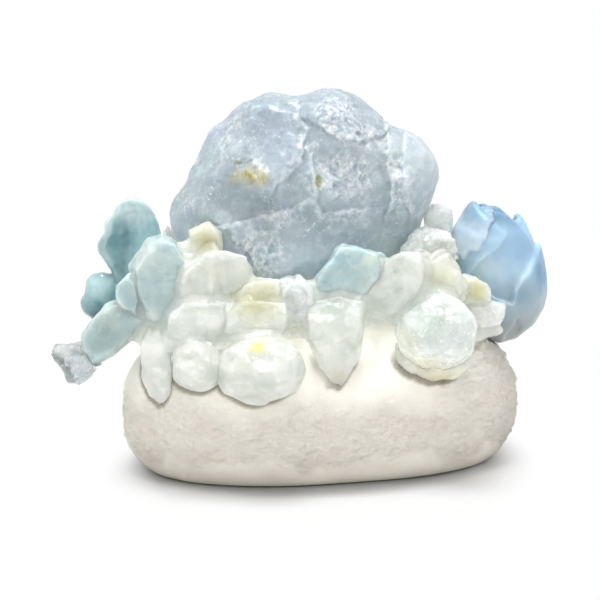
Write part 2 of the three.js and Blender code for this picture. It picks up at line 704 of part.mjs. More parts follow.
function backChips() {
  const stones = [milk, aqua, clear, milk, honey, aqua, milk];
  const made = [];
  for (const row of backRows)
    for (let i = 0; i < row.count; i++) {
      const random = seeded(row.seed + i);
      const angle = radians(THREE.MathUtils.lerp(row.from, row.to, i / (row.count - 1)));
      const corners = 6 + Math.floor(random() * 3);
      const size = row.size * THREE.MathUtils.lerp(...collar.size, random());
      const sag = collar.fall * Math.cos(angle) ** 2;
      const outline = [];
      for (let k = 0; k < corners; k++) {
        const turn = (2 * Math.PI * (k + 0.5 * random())) / corners;
        const reach = size * THREE.MathUtils.lerp(collar.corner, 1, random());
        outline.push([reach * Math.cos(turn), reach * Math.sin(turn)]);
      }
      made.push({
        name: `back_chip_${made.length + 1}`,
        stone: stones[(made.length * 3) % stones.length],
        shape: brokenChip,
        at: [
          collar.middle[0] + row.reachX * Math.cos(angle),
          collar.middle[1] + row.reachY * Math.sin(angle),
          row.height - sag + 2 * (random() - 0.5),
        ],
        thick: size * collar.thick,
        lean: [2 * (random() - 0.5), 2 * (random() - 0.5)],
        seed: row.seed + i,
        outline,
      });
    }
  return made;
}

// Assembly

const cluster = new THREE.Group();
cluster.add(meshOf("base_pebble", pebbleSolid, plaster));
cluster.add(meshOf("celestite_lump", celestiteSolid, celestiteBlue));
cluster.add(meshOf("blue_blossom", blossomBody, blossomBlue, 0.3));
cluster.add(meshOf("teal_petals", tealBody, tealGlaze, 0.2));

const cutters = [pebbleCutter, celestiteCutter, blossomCutter, tealCutter];
for (const chip of [...frontChips, ...sideChips, ...backChips()]) {
  const whole = chip.shape(chip);
  const fitted = cutBy(whole, cutters);
  cutters.push(grown(whole));
  cluster.add(meshOf(chip.name, fitted, chip.stone));
}

// The origin is under the middle of the whole piece, level with its resting face.
const bounds = new THREE.Box3().setFromObject(cluster);
const middle = bounds.getCenter(new THREE.Vector3());
cluster.position.set(-middle.x, -middle.y, -bounds.min.z);

const part = new THREE.Group();
part.add(cluster);

export default part;
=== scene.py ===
import bpy
import json
import math
import random
import numpy as np
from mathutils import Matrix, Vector, kdtree, noise

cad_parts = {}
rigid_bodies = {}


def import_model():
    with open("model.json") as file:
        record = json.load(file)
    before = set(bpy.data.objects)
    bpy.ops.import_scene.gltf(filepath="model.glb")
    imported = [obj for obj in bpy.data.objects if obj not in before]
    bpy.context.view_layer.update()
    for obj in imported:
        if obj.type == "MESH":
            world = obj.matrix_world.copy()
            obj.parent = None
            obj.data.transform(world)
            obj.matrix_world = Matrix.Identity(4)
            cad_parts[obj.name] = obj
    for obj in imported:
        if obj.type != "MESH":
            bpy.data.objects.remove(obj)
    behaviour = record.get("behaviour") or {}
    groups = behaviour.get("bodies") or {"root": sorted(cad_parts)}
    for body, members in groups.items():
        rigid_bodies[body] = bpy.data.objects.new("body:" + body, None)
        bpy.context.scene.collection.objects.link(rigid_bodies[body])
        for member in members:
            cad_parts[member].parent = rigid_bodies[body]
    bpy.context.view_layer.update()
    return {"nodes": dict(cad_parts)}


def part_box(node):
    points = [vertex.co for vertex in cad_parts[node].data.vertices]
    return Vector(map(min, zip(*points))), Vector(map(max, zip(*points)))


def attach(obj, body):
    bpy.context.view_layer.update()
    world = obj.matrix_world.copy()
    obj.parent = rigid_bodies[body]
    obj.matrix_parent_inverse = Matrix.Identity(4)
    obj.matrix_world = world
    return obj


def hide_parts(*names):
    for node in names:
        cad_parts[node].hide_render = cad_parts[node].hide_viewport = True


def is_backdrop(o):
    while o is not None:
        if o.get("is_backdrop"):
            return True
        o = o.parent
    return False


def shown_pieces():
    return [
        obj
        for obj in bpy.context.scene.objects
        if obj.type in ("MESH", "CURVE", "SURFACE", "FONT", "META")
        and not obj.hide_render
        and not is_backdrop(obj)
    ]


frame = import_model()
scene = bpy.context.scene
noise.seed_set(4)  # without it the soft noise changes from run to run
print("frame loaded:", len(frame["nodes"]), "solids")

mm = 0.001
pebbleLow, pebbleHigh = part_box("base_pebble")
pebbleMiddle = (pebbleLow + pebbleHigh) / 2


# Small helpers for colours and selection

def paint(red, green, blue, alpha=1.0):  # a colour as it is read off a screen, 0 to 255
    def linear(level):
        level = level / 255
        return level / 12.92 if level <= 0.04045 else ((level + 0.055) / 1.055) ** 2.4
    return (linear(red), linear(green), linear(blue), alpha)


def grey(level):
    return (level, level, level, 1)


def select(*pieces):
    bpy.ops.object.select_all(action="DESELECT")
    for piece in pieces:
        piece.select_set(True)
    bpy.context.view_layer.objects.active = pieces[0]


def apply(piece, kind, **settings):  # adds a modifier and applies it
    select(piece)
    modifier = piece.modifiers.new(kind.lower(), kind)
    for name, value in settings.items():
        setattr(modifier, name, value)
    bpy.ops.object.modifier_apply(modifier=modifier.name)


def copyOf(node, name):  # the solid's own mesh as a new piece, its loose triangles joined
    mesh = frame["nodes"][node].data.copy()
    mesh.materials.clear()
    piece = bpy.data.objects.new(name, mesh)
    scene.collection.objects.link(piece)
    select(piece)
    bpy.ops.object.mode_set(mode="EDIT")
    bpy.ops.mesh.select_all(action="SELECT")
    bpy.ops.mesh.remove_doubles(threshold=0.01 * mm)
    bpy.ops.mesh.delete_loose()
    bpy.ops.object.mode_set(mode="OBJECT")
    return piece


def remesh(piece, size, rounds=0):  # an even skin of small quads, smoothed a little
    apply(piece, "REMESH", mode="VOXEL", voxel_size=size * mm)
    if rounds:
        apply(piece, "SMOOTH", factor=0.5, iterations=rounds)


def pattern(kind, size, **settings):  # a modelling texture, its size in millimetres
    texture = bpy.data.textures.new(kind.lower(), kind)
    texture.noise_scale = size * mm
    for name, value in settings.items():
        setattr(texture, name, value)
    return texture


def placeholder(turn=(0, 0, 0), stretch=(1, 1, 1), at=(0, 0, 0)):  # turns and stretches a texture
    bpy.ops.object.empty_add(location=Vector(at) * mm, rotation=[math.radians(a) for a in turn])
    empty = bpy.context.active_object
    empty.scale = stretch
    bpy.context.view_layer.update()
    return empty


# depth in millimetres, turned an object that the texture's place is read from
def displace(piece, depth, texture=None, level=0.5, group="", turned=None, way="NORMAL"):
    settings = {"strength": depth * mm, "mid_level": level if texture else 0,
                "vertex_group": group, "direction": way}
    if texture:
        settings["texture"] = texture
        settings["texture_coords"] = "OBJECT" if turned else "LOCAL"
        if turned:
            settings["texture_coords_object"] = turned
    apply(piece, "DISPLACE", **settings)


def placesOf(piece):  # its vertices in millimetres
    places = np.zeros(len(piece.data.vertices) * 3)
    piece.data.vertices.foreach_get("co", places)
    return places.reshape(-1, 3) / mm


def wander(places, size, reach):  # the places moved about by soft noise, to fray what follows them
    moves = [noise.noise_vector(Vector(place) / size) for place in places]
    return places + np.array(moves) * reach


def ease(values):  # 0 to 1 with soft ends
    clipped = np.clip(values, 0, 1)
    return clipped * clipped * (3 - 2 * clipped)


def weigh(piece, name, weights):  # a vertex group from one weight for each vertex
    group = piece.vertex_groups.new(name=name)
    for index in np.nonzero(weights > 0.003)[0]:
        group.add([int(index)], float(weights[index]), "REPLACE")
    return group.name


def nearSpots(places, spots, steep=1.6):  # 1 inside each spot, easing to 0 at its edge
    total = np.zeros(len(places))
    for spot in spots:
        away = (places - np.array(spot["at"])) / np.array(spot["half"])
        reach = ease((1 - np.linalg.norm(away, axis=1)) * steep)
        total = np.maximum(total, reach * spot.get("share", 1))
    return total


# a ledge seen in x and z: 1 along the left of the line, fading slowly away, and gone on its right
def besideLine(places, points, fade, sharp=0.5):
    flat = places[:, [0, 2]]
    closest = np.full(len(places), np.inf)
    signed = np.zeros(len(places))
    for start, end in zip(points, points[1:]):
        start, end = np.array(start, float), np.array(end, float)
        along = end - start
        offset = flat - start
        share = np.clip(offset @ along / (along @ along), 0, 1)
        away = np.linalg.norm(offset - share[:, None] * along, axis=1)
        left = np.sign(along[0] * offset[:, 1] - along[1] * offset[:, 0])
        closer = away < closest
        closest = np.where(closer, away, closest)
        signed = np.where(closer, left * away, signed)
    raised = np.exp(-(signed / fade) ** 2)
    return np.where(signed > 0, raised, ease(1 + signed / sharp))


def howFar(places, others):  # from each place to the nearest of the others
    tree = kdtree.KDTree(len(others))
    for index, other in enumerate(others):
        tree.insert(other, index)
    tree.balance()
    return np.array([tree.find(place)[2] for place in places])


def flattened(places):  # as they are seen from the front or from the back
    return np.column_stack((places[:, 0], 100 * np.sign(places[:, 1]), places[:, 2]))


def mark(piece, name, values):  # a number on each vertex, for the material to read
    layer = piece.data.attributes.new(name, "FLOAT", "POINT")
    layer.data.foreach_set("value", np.clip(values, 0, 1).astype(np.float32))


def carve(piece, heights):  # moves each vertex along its normal by its own height in millimetres
    for name, way in (("raised", 1), ("sunk", -1)):
        most = (heights * way).max()
        if most > 0:
            share = np.maximum(heights * way, 0) / most
            displace(piece, way * most, group=weigh(piece, name, share))


def finish(piece, node, material):
    piece.vertex_groups.clear()
    piece.data.materials.clear()
    piece.data.materials.append(material)
    select(piece)
    bpy.ops.object.shade_smooth()
    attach(piece, "root")
    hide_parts(node)


# Shader maths

class Wire:  # a socket of a node tree, so that sums on it add the tree's own nodes
    def __init__(self, tree, socket=None):
        self.tree = tree
        self.socket = socket

    def node(self, kind, settings, inputs, out=0):
        made = self.tree.nodes.new("ShaderNode" + kind)
        for name, value in settings.items():
            if name == "stops":
                ramp = made.color_ramp
                while len(ramp.elements) < len(value):
                    ramp.elements.new(0.5)
                for element, (position, colour) in zip(ramp.elements, value):
                    element.position = position
                    element.color = colour
            else:
                setattr(made, name, value)
        for name, value in inputs.items():
            if isinstance(value, Wire):
                self.tree.links.new(value.socket, made.inputs[name])
            else:
                made.inputs[name].default_value = value
        return Wire(self.tree, made.outputs[out] if made.outputs else None)

    def sum(self, operation, first, second=0.0, third=0.0):
        return self.node("Math", {"operation": operation}, {0: first, 1: second, 2: third})

    def __add__(self, other):
        return self.sum("ADD", self, other)

    def __sub__(self, other):
        return self.sum("SUBTRACT", self, other)

    def __rsub__(self, other):
        return self.sum("SUBTRACT", other, self)

    def __mul__(self, other):
        return self.sum("MULTIPLY", self, other)

    def __truediv__(self, other):
        return self.sum("DIVIDE", self, other)

    __radd__ = __add__
    __rmul__ = __mul__

    def highest(self, other):
        return self.sum("MAXIMUM", self, other)

    def between(self, low, high):  # 0 at low, 1 at high, with soft ends
        return self.node("MapRange", {"interpolation_type": "SMOOTHSTEP"},
                         {"Value": self, "From Min": low, "From Max": high})

    def vector(self, operation, other):
        return self.node("VectorMath", {"operation": operation}, {0: self, 1: other})

    def scaled(self, factor):
        return self.node("VectorMath", {"operation": "SCALE"}, {0: self, "Scale": factor})

    def stretched(self, x, y, z, turn=(0, 0, 0)):  # the same place seen through a Mapping node
        return self.node("Mapping", {}, {"Vector": self, "Scale": (x, y, z),
                                         "Rotation": [math.radians(a) for a in turn]})

    def noise(self, size, detail=3.0, rough=0.5, warp=0.0):
        return self.node("TexNoise", {}, {"Vector": self, "Scale": 1 / size, "Detail": detail,
                                          "Roughness": rough, "Distortion": warp})

    def part(self, axis):
        return self.node("SeparateXYZ", {}, {0: self}, axis)

    def shaken(self, scale, detail, reach):  # the same place moved about by fine noise
        inputs = {"Vector": self, "Scale": scale, "Detail": detail}
        return self.vector("ADD", self.node("TexNoise", {}, inputs, "Color").scaled(reach))

    def ridges(self, size, detail=4.0):  # thin raised wrinkles
        return self.node("TexNoise", {"noise_type": "RIDGED_MULTIFRACTAL"},
                         {"Vector": self, "Scale": 1 / size, "Detail": detail})

    def cells(self, size, feature="F1", out="Distance", metric="EUCLIDEAN"):
        settings = {"feature": feature}
        if feature != "DISTANCE_TO_EDGE":
            settings["distance"] = metric
        return self.node("TexVoronoi", settings, {"Vector": self, "Scale": 1 / size}, out)

    def facets(self, size):  # the height of small flat faces, each tilted its own way
        away = self.vector("SUBTRACT", self.cells(size, out="Position"))
        tilt = self.cells(size, out="Color").vector("SUBTRACT", (0.5, 0.5, 0.5))
        return self.node("VectorMath", {"operation": "DOT_PRODUCT"}, {0: away, 1: tilt}, "Value")

    def slopes(self, size):  # the height of small flat faces that meet in ridges and valleys
        return self.cells(size, metric="MANHATTAN") * size

    def spot(self, at, half, edge=0.0, ragged=0.0):  # 1 round a place in millimetres, easing to 0
        away = self.vector("SUBTRACT", tuple(at)).vector("DIVIDE", tuple(half))
        far = self.node("VectorMath", {"operation": "LENGTH"}, {0: away}, "Value")
        if ragged:
            far = far + (self.noise(sum(half) / 6, 3) - 0.5) * ragged
        return far.between(1, edge)

    def ring(self, at, half, width):  # 1 on a thin loop round a place in millimetres
        away = self.vector("SUBTRACT", tuple(at)).vector("DIVIDE", tuple(half))
        far = self.node("VectorMath", {"operation": "LENGTH"}, {0: away}, "Value") - 1
        return far.sum("ABSOLUTE", far).between(width, width / 3)

    def mix(self, first, second, how="MIX"):  # self is how much of the second colour shows
        return self.node("Mix", {"data_type": "RGBA", "blend_type": how},
                         {0: self, 6: first, 7: second}, 2)


def newMaterial(name):
    material = bpy.data.materials.new(name)
    material.use_nodes = True
    tree = material.node_tree
    tree.nodes.clear()
    start = Wire(tree)
    place = start.node("TexCoord", {}, {}, "Object").scaled(1 / mm)  # in millimetres
    return material, start, place


def bump(start, height, depth, under=None):  # depth in millimetres
    inputs = {"Height": height, "Distance": depth * mm, "Strength": 1.0}
    if under:
        inputs["Normal"] = under
    return start.node("Bump", {}, inputs)


def surface(start, inputs, absorption=None):
    ends = {"Surface": start.node("BsdfPrincipled", {}, inputs)}
    if absorption:
        colour, density = absorption
        ends["Volume"] = start.node("VolumeAbsorption", {}, {"Color": colour, "Density": density})
    start.node("OutputMaterial", {}, ends)


# Camera, floor and light

camera = {"aim": (-6.2, 0.1, 45.9), "away": 560, "above": 10, "lens": 120, "sensor": 36}
aim = Vector((pebbleMiddle.x, pebbleMiddle.y, 0)) + Vector(camera["aim"]) * mm
tilt = math.radians(camera["above"])
bpy.ops.object.camera_add(
    location=aim + Vector((0, -math.cos(tilt), math.sin(tilt))) * camera["away"] * mm,
    rotation=(math.pi / 2 - tilt, 0, 0))
view = bpy.context.active_object
view.data.lens = camera["lens"]
view.data.sensor_width = camera["sensor"]
view.data.clip_start = 0.01
scene.camera = view
scene.view_settings.view_transform = "Standard"

studio = {
    "floor": 3.0,
    "white": 0.64,
    "bounce": 0.75,
    # painted shadow: the floor is darker in an ellipse round the pebble
    "paintedFloorShadow": {"squash": (0.86, 1.05), "shift": 5, "reach": (35, 46), "dark": 0.36},
    "swept": {"squash": (1.1, 0.62), "reach": (50, 68)},  # where the floor turns plain white
    "horizon": 0.78,
    "zenith": 0.86,
    "lightsAim": (0, 0, 50),
    "lights": [
        {"at": (-40, -10, 700), "size": 330, "power": 3.6},
        {"at": (-330, -420, 330), "size": 50, "power": 0.22},
        {"at": (260, -460, 420), "size": 40, "power": 0.22}],
}


def makeFloor(studio):
    bpy.ops.mesh.primitive_plane_add(size=studio["floor"])
    floor = bpy.context.active_object
    floor.name = "floor"
    material, start, place = newMaterial("paleFloor")
    seen = start.node("LightPath", {}, {}, "Is Camera Ray")

    def away(ring):  # 0 near the pebble, 1 outside the ring's reach, which is an ellipse
        x, y = ring["squash"]
        shift = (ring.get("shift", 0) - pebbleMiddle.x / mm, -pebbleMiddle.y / mm, 0)
        offset = place.vector("ADD", shift).stretched(x, y, 1)
        far = start.node("VectorMath", {"operation": "LENGTH"}, {0: offset}, "Value")
        return far.between(*ring["reach"])

    paintedFloorShadow = studio["paintedFloorShadow"]
    # painted shadow on the floor round the pebble
    colour = away(paintedFloorShadow).mix(grey(paintedFloorShadow["dark"]), grey(studio["white"]))
    colour = seen.mix(grey(studio["bounce"]), colour)
    shader = start.node("BsdfDiffuse", {}, {"Color": colour})
    glow = start.node("Emission", {}, {"Color": grey(1)})
    swept = start.node("MixShader", {}, {0: away(studio["swept"]) * seen, 1: shader, 2: glow})
    start.node("OutputMaterial", {}, {"Surface": swept})
    floor.data.materials.append(material)
    floor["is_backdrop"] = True


def makeWorld(studio):
    world = bpy.data.worlds.new("paleStudio")
    scene.world = world
    world.use_nodes = True
    world.node_tree.nodes.clear()
    start = Wire(world.node_tree)
    seen = start.node("LightPath", {}, {}, "Is Camera Ray")
    seen = seen.highest(start.node("LightPath", {}, {}, "Is Transmission Ray"))
    direction = start.node("TexCoord", {}, {}, "Generated")
    height = direction.part("Z").highest(0)
    around = height * (studio["zenith"] - studio["horizon"]) + studio["horizon"]
    strength = around.highest(seen)
    shader = start.node("Background", {}, {"Color": grey(1), "Strength": strength})
    start.node("OutputWorld", {}, {"Surface": shader})


def makeLight(light):
    place = Vector(light["at"]) * mm
    bpy.ops.object.light_add(type="AREA", location=place)
    lamp = bpy.context.active_object
    lamp.data.shape = "DISK"
    lamp.data.size = light["size"] * mm
    lamp.data.energy = light["power"]
    towards = Vector(studio["lightsAim"]) * mm - place
    lamp.rotation_euler = towards.to_track_quat("-Z", "Y").to_euler()


makeFloor(studio)
makeWorld(studio)
for light in studio["lights"]:
    makeLight(light)
print("camera, floor and light set")


# The collar of chips

finishes = {
    "clear": {
        "slot": "clear_quartz", "tint": paint(220, 226, 225), "veil": paint(243, 246, 244),
        "glass": paint(250, 252, 252), "inside": paint(224, 232, 232), "density": 12,
        "milky": 0.76, "rough": 0.2},
    "glassy": {
        "slot": "clear_quartz", "tint": paint(168, 176, 178), "veil": paint(240, 242, 245),
        "glass": paint(236, 242, 244), "inside": paint(196, 208, 214), "density": 50,
        "milky": 0.3, "rough": 0.05},
    "milky": {
        "slot": "milky_quartz", "tint": paint(219, 223, 217), "veil": paint(241, 243, 237),
        "glass": paint(248, 250, 246), "inside": paint(226, 234, 226), "density": 12,
        "milky": 0.62, "rough": 0.3},
    "honey": {
        "slot": "honey_calcite", "tint": paint(222, 225, 215), "veil": paint(236, 238, 228),
        "glass": paint(250, 248, 226), "inside": paint(236, 228, 170), "density": 20,
        "milky": 0.7, "rough": 0.28},
    "aqua": {
        "slot": "aqua_stone", "tint": paint(166, 188, 189), "veil": paint(190, 208, 208),
        "glass": paint(222, 240, 238), "inside": paint(190, 222, 222), "density": 20,
        "milky": 0.92, "rough": 0.3},
}

hues = [  # soft patches of colour that run across the chips: place, half size, share, colour
    ((-40, -18, 51), (10, 14, 10), 0.9, paint(176, 193, 193)),
    ((-43, -18, 62), (8, 14, 7), 0.8, paint(184, 198, 199)),
    ((-54, -16, 41), (10, 12, 9), 0.9, paint(146, 167, 169)),
    ((-38, -22, 44), (6, 12, 5), 0.5, paint(206, 219, 217)),
    ((10, -20, 60), (12, 14, 8), 0.9, paint(172, 194, 198)),
    ((9, -24, 49), (12, 14, 6), 0.75, paint(196, 208, 202)),
    ((17, -20, 61), (4, 8, 3), 0.6, paint(222, 228, 206)),
    ((7.5, -20, 62.5), (3.5, 8, 3), 0.5, paint(150, 186, 198)),
    ((12, -20, 57), (5, 8, 2.5), 0.4, paint(160, 190, 196)),
    ((19, -20, 52), (9, 12, 8), 0.6, paint(208, 216, 209)),
    ((-13, -25, 50.5), (10, 13, 8), 0.9, paint(215, 214, 176)),
    ((-27, -13, 65), (6, 12, 6.5), 0.95, paint(200, 198, 156)),
    ((46.6, -6, 50.5), (4.6, 10, 5), 0.9, paint(214, 211, 168)),
    ((36, -14, 56), (5, 10, 4), 0.6, paint(228, 227, 196)),
    ((35, -20, 31), (11, 10, 4), 0.7, paint(250, 243, 212)),
    # painted shade along the lower edge of the chip under the round quartz
    ((36, -22, 28.6), (12, 10, 2.6), 0.8, paint(214, 204, 166)),
    ((-3, -22, 50), (5.5, 10, 7), 0.6, paint(212, 213, 218)),
    ((-25, -24, 56), (4, 8, 6), 0.7, paint(222, 222, 210)),
    ((-30, -20, 58), (4, 10, 6), 0.5, paint(212, 215, 214)),
    ((-20, -22, 61), (3.5, 8, 4), 0.5, paint(214, 217, 213)),
    # painted shadow in the pointed chip's lower tip
    ((8.2, -28, 31), (5, 8, 5), 0.8, paint(206, 201, 180)),
    ((-12.6, -34.7, 40.4), (5.2, 6, 3.0), 0.8, paint(255, 252, 226)),
    ((-12.8, -34.7, 40.2), (4.4, 5, 2.4), 0.95, paint(255, 236, 140)),
    ((31, -24, 49), (7, 8, 3), 0.4, paint(206, 214, 206)),
    ((34, -24, 45), (12, 9, 10), 0.85, paint(190, 201, 193)),
    # painted highlight: the bright spot in the round quartz
    ((33, -25, 43.8), (4.4, 6, 4.2), 0.8, paint(222, 234, 228)),
    ((36, -10, 64), (9, 12, 7), 0.7, paint(182, 186, 179)),
    ((-12, -30, 34), (12, 10, 7), 0.5, paint(212, 217, 207)),
    ((-44, -14, 46), (9, 14, 6), 0.7, paint(184, 200, 200)),
    ((-47, -16, 49), (7, 16, 7), 0.9, paint(154, 173, 175)),
    ((-28, -20, 54), (5, 8, 5), 0.5, paint(196, 200, 194)),
    ((37, -2, 70), (8, 12, 5), 0.9, paint(222, 224, 222)),
    ((39.5, -26, 41), (5, 8, 5.5), 0.7, paint(214, 214, 219)),
    ((27, -24, 40), (5, 8, 8), 0.5, paint(232, 228, 200)),
    ((31.5, -24, 34.5), (9, 8, 4), 0.6, paint(236, 230, 198)),
    ((49, -6, 43), (6, 10, 5), 0.9, paint(244, 244, 240)),
    ((47, -8, 38), (6, 12, 5), 0.7, paint(246, 248, 242)),
    ((-39, -26, 36), (5, 12, 9), 0.5, paint(246, 249, 244)),
    # painted shade inside the clear tip, and a painted highlight on its upper left
    ((-59.7, -16, 33.4), (3.4, 12, 3), 0.7, paint(132, 138, 144)),
    ((-65, -16, 34), (2.4, 12, 1.6), 0.95, paint(255, 255, 255)),
]

loops = [  # thin rings: place, half size, width, share, colour
    ((31.7, -25, 44), (8.2, 40, 8.0), 0.1, 0.4, paint(204, 214, 206)),
    ((31.7, -25, 44.1), (9.2, 40, 9.0), 0.06, 0.35, paint(240, 244, 240)),
    ((39.6, -26, 41.5), (5.4, 40, 5.8), 0.1, 0.4, paint(206, 212, 206)),
    ((-2.6, -24, 51.2), (2.8, 40, 3.6), 0.2, 0.5, paint(196, 198, 206)),
]

paintedGlintPlaces = [  # places with many small painted glints, and their half sizes
    ((-10.4, -37, 37.2), (4.2, 6, 3)), ((39, -24, 34.5), (5, 8, 2)),
    ((31.5, -26, 36.5), (3, 6, 1.2)), ((-38.6, -26, 42), (3, 6, 3)),
    ((36, -8, 65.5), (4, 8, 2.5)), ((50, -4, 44), (4, 6, 4)),
]


def chipStone(name, stone):
    material, start, place = newMaterial(name)
    clouds = place.noise(6, 4, 0.55, 0.4).between(0.3, 0.7)
    veils = place.noise(2.6, 5, 0.6, 1.5).between(0.54, 0.72)
    edges = start.node("NewGeometry", {}, {}, "Pointiness").between(0.505, 0.56)
    shards = place.shaken(0.3, 2, 2).cells(4, out="Color").part("X")
    tint = (veils * 0.4 + clouds * 0.3 + shards * 0.4).mix(stone["tint"], stone["veil"])
    for at, half, share, colour in hues:
        tint = (place.spot(at, half, ragged=0.4) * share).mix(tint, colour)
    warm = place.noise(11, 2).between(0.45, 0.65)
    tint = (warm * 0.2).mix(tint, paint(238, 236, 220))
    threads = place.ridges(7, 2).between(0.8, 0.95)
    # whiter along sharp edges, partly frosting and partly a painted highlight where ridges catch
    # the light, and along thin white threads
    tint = (edges * 0.15 + threads * 0.06).mix(tint, paint(250, 252, 250))
    for at, half, width, share, colour in loops:
        tint = (place.ring(at, half, width) * share).mix(tint, colour)
    # painted glints: small white specks painted into the colour
    sparks = place.noise(0.8, 2, 0.5)
    paintedGlints = sparks.between(0.66, 0.7) * place.noise(5, 2).between(0.5, 0.62) * 0.15
    for at, half in paintedGlintPlaces:
        paintedGlints = paintedGlints.highest(place.spot(at, half, ragged=0.6) * sparks.between(0.5, 0.58))
    tint = (paintedGlints * 0.9).mix(tint, grey(1))
    fine = bump(start, place.noise(1.2, 4), 0.05)
    relief = bump(start, place.slopes(5) + place.slopes(2.6) * 0.5, 0.14, fine)
    rough = stone["rough"] + veils * 0.15
    # the milky part glows a little: painted light, standing in for light scattered through the
    # chips
    milk = start.node("BsdfPrincipled", {}, {
        "Base Color": tint, "Roughness": rough, "Normal": relief, "IOR": 1.5,
        "Subsurface Weight": 1.0, "Subsurface Radius": (1.0, 1.0, 1.0),
        "Subsurface Scale": 5 * mm, "Emission Color": tint, "Emission Strength": 0.15})
    glass = start.node("BsdfPrincipled", {}, {
        "Base Color": stone["glass"], "Roughness": rough, "Normal": relief, "IOR": 1.5,
        "Transmission Weight": 1.0})
    share = clouds * 0.2 + veils * 0.2 + (stone["milky"] - 0.12)
    mixed = start.node("MixShader", {}, {0: share, 1: glass, 2: milk})
    inside = start.node("VolumeAbsorption", {}, {"Color": stone["inside"],
                                                 "Density": stone["density"]})
    start.node("OutputMaterial", {}, {"Surface": mixed, "Volume": inside})
    return material


broken = {"skin": 0.36, "soften": 0, "grow": 0.5, "scoop": (9, 0.8), "chunk": (6.5, 1.0),
          "flake": (2.5, 0.15)}
worn = {"skin": 0.36, "soften": 2, "grow": 0.6, "scoop": (8, 0.9), "chunk": (5.5, 0.8),
        "flake": (2.5, 0.2)}
tumbled = {"skin": 0.38, "soften": 10, "grow": 0.7, "scoop": (9, 0.6), "chunk": (4, 0.2),
           "flake": (4, 0.15)}
hidden = broken | {"skin": 0.6}
smooth = broken | {"soften": 3, "chunk": (6.5, 0.6), "flake": (2.5, 0.08)}
leaning = broken | {"scoop": (9, 0.6), "chunk": (6.5, 0.7), "lean": 1.6}  # its top leans back
twisted = broken | {"chunk": (3, 1.1), "flake": (3, 0.8)}

chips = [
    {"node": "round_quartz_right", "stone": "clear", "cut": tumbled, "carving": [
        {"at": (31.7, -25, 44), "half": (8.2, 40, 8.0), "height": 0.25, "ring": 0.09},
        {"at": (32.4, -25, 44.2), "half": (5.6, 40, 5.4), "height": 0.15, "ring": 0.12},
        {"at": (39.6, -26, 41.5), "half": (5.4, 40, 5.8), "height": 0.7}]},
    {"node": "gold_flecked_quartz", "stone": "milky", "cut": worn, "carving": [
        {"at": (-11.4, -36, 38.8), "half": (5.2, 8, 4), "height": -0.8}]},
    {"node": "clear_chip_middle", "stone": "clear", "cut": broken, "carving": [
        {"at": (-2.6, -24, 51), "half": (3.6, 40, 4.6), "height": -1.0},
        {"at": (-3.5, -22, 57.5), "half": (1.2, 40, 2), "height": -1.2}]},
    {"node": "clear_chip_right", "stone": "clear", "cut": twisted},
    {"node": "clear_chip_far_right", "stone": "clear", "cut": broken},
    {"node": "clear_tip_left", "stone": "glassy", "cut": broken},
    {"node": "small_clear_chip_left", "stone": "clear", "cut": broken},
    {"node": "lilac_chip_right", "stone": "clear", "cut": broken},
    {"node": "round_chip_left", "stone": "milky", "cut": worn | {"lean": 2}},
    {"node": "long_chip_left", "stone": "milky", "cut": leaning},
    {"node": "pointed_chip_centre", "stone": "milky", "cut": leaning, "carving": [
        {"at": (16.6, -27, 31), "half": (3.6, 12, 6), "height": -2.4},
        {"at": (3.4, -27, 29), "half": (4.2, 12, 4.5), "height": -1}]},
    {"node": "milky_chip_middle", "stone": "milky", "cut": leaning},
    {"node": "milky_chip_left", "stone": "milky", "cut": leaning},
    {"node": "big_milky_chip", "stone": "milky", "cut": broken, "carving": [
        {"at": (-25.2, -25, 55.8), "half": (1.1, 40, 4), "height": 0.5},
        {"at": (-22, -25, 57), "half": (0.9, 40, 4), "height": 0.5}]},
    {"node": "milky_chip_centre", "stone": "milky", "cut": broken},
    {"node": "low_chip_far_right", "stone": "milky", "cut": broken},
    {"node": "white_shard_left", "stone": "milky", "cut": broken},
    {"node": "inner_chip_left", "stone": "milky", "cut": hidden},
    {"node": "inner_chip_right", "stone": "milky", "cut": hidden},
    {"node": "low_chip_right", "stone": "honey", "cut": broken},
    {"node": "honey_chip_middle", "stone": "honey", "cut": broken},
    {"node": "honey_chip_left", "stone": "honey", "cut": broken},
    {"node": "honey_chip_right", "stone": "honey", "cut": broken},
    {"node": "pale_chip_right", "stone": "honey", "cut": broken},
    {"node": "small_aqua_chip", "stone": "aqua", "cut": smooth},
    {"node": "big_aqua_chip", "stone": "aqua", "cut": smooth},
    {"node": "aqua_arm", "stone": "aqua", "cut": smooth},
    {"node": "aqua_chip_centre", "stone": "aqua", "cut": broken},
]
backStones = ["milky"] + 2 * ["milky", "milky", "clear", "aqua", "aqua", "honey", "milky"]
chips += [{"node": f"back_chip_{i + 1}", "stone": stone, "cut": hidden}
          for i, stone in enumerate(backStones)]


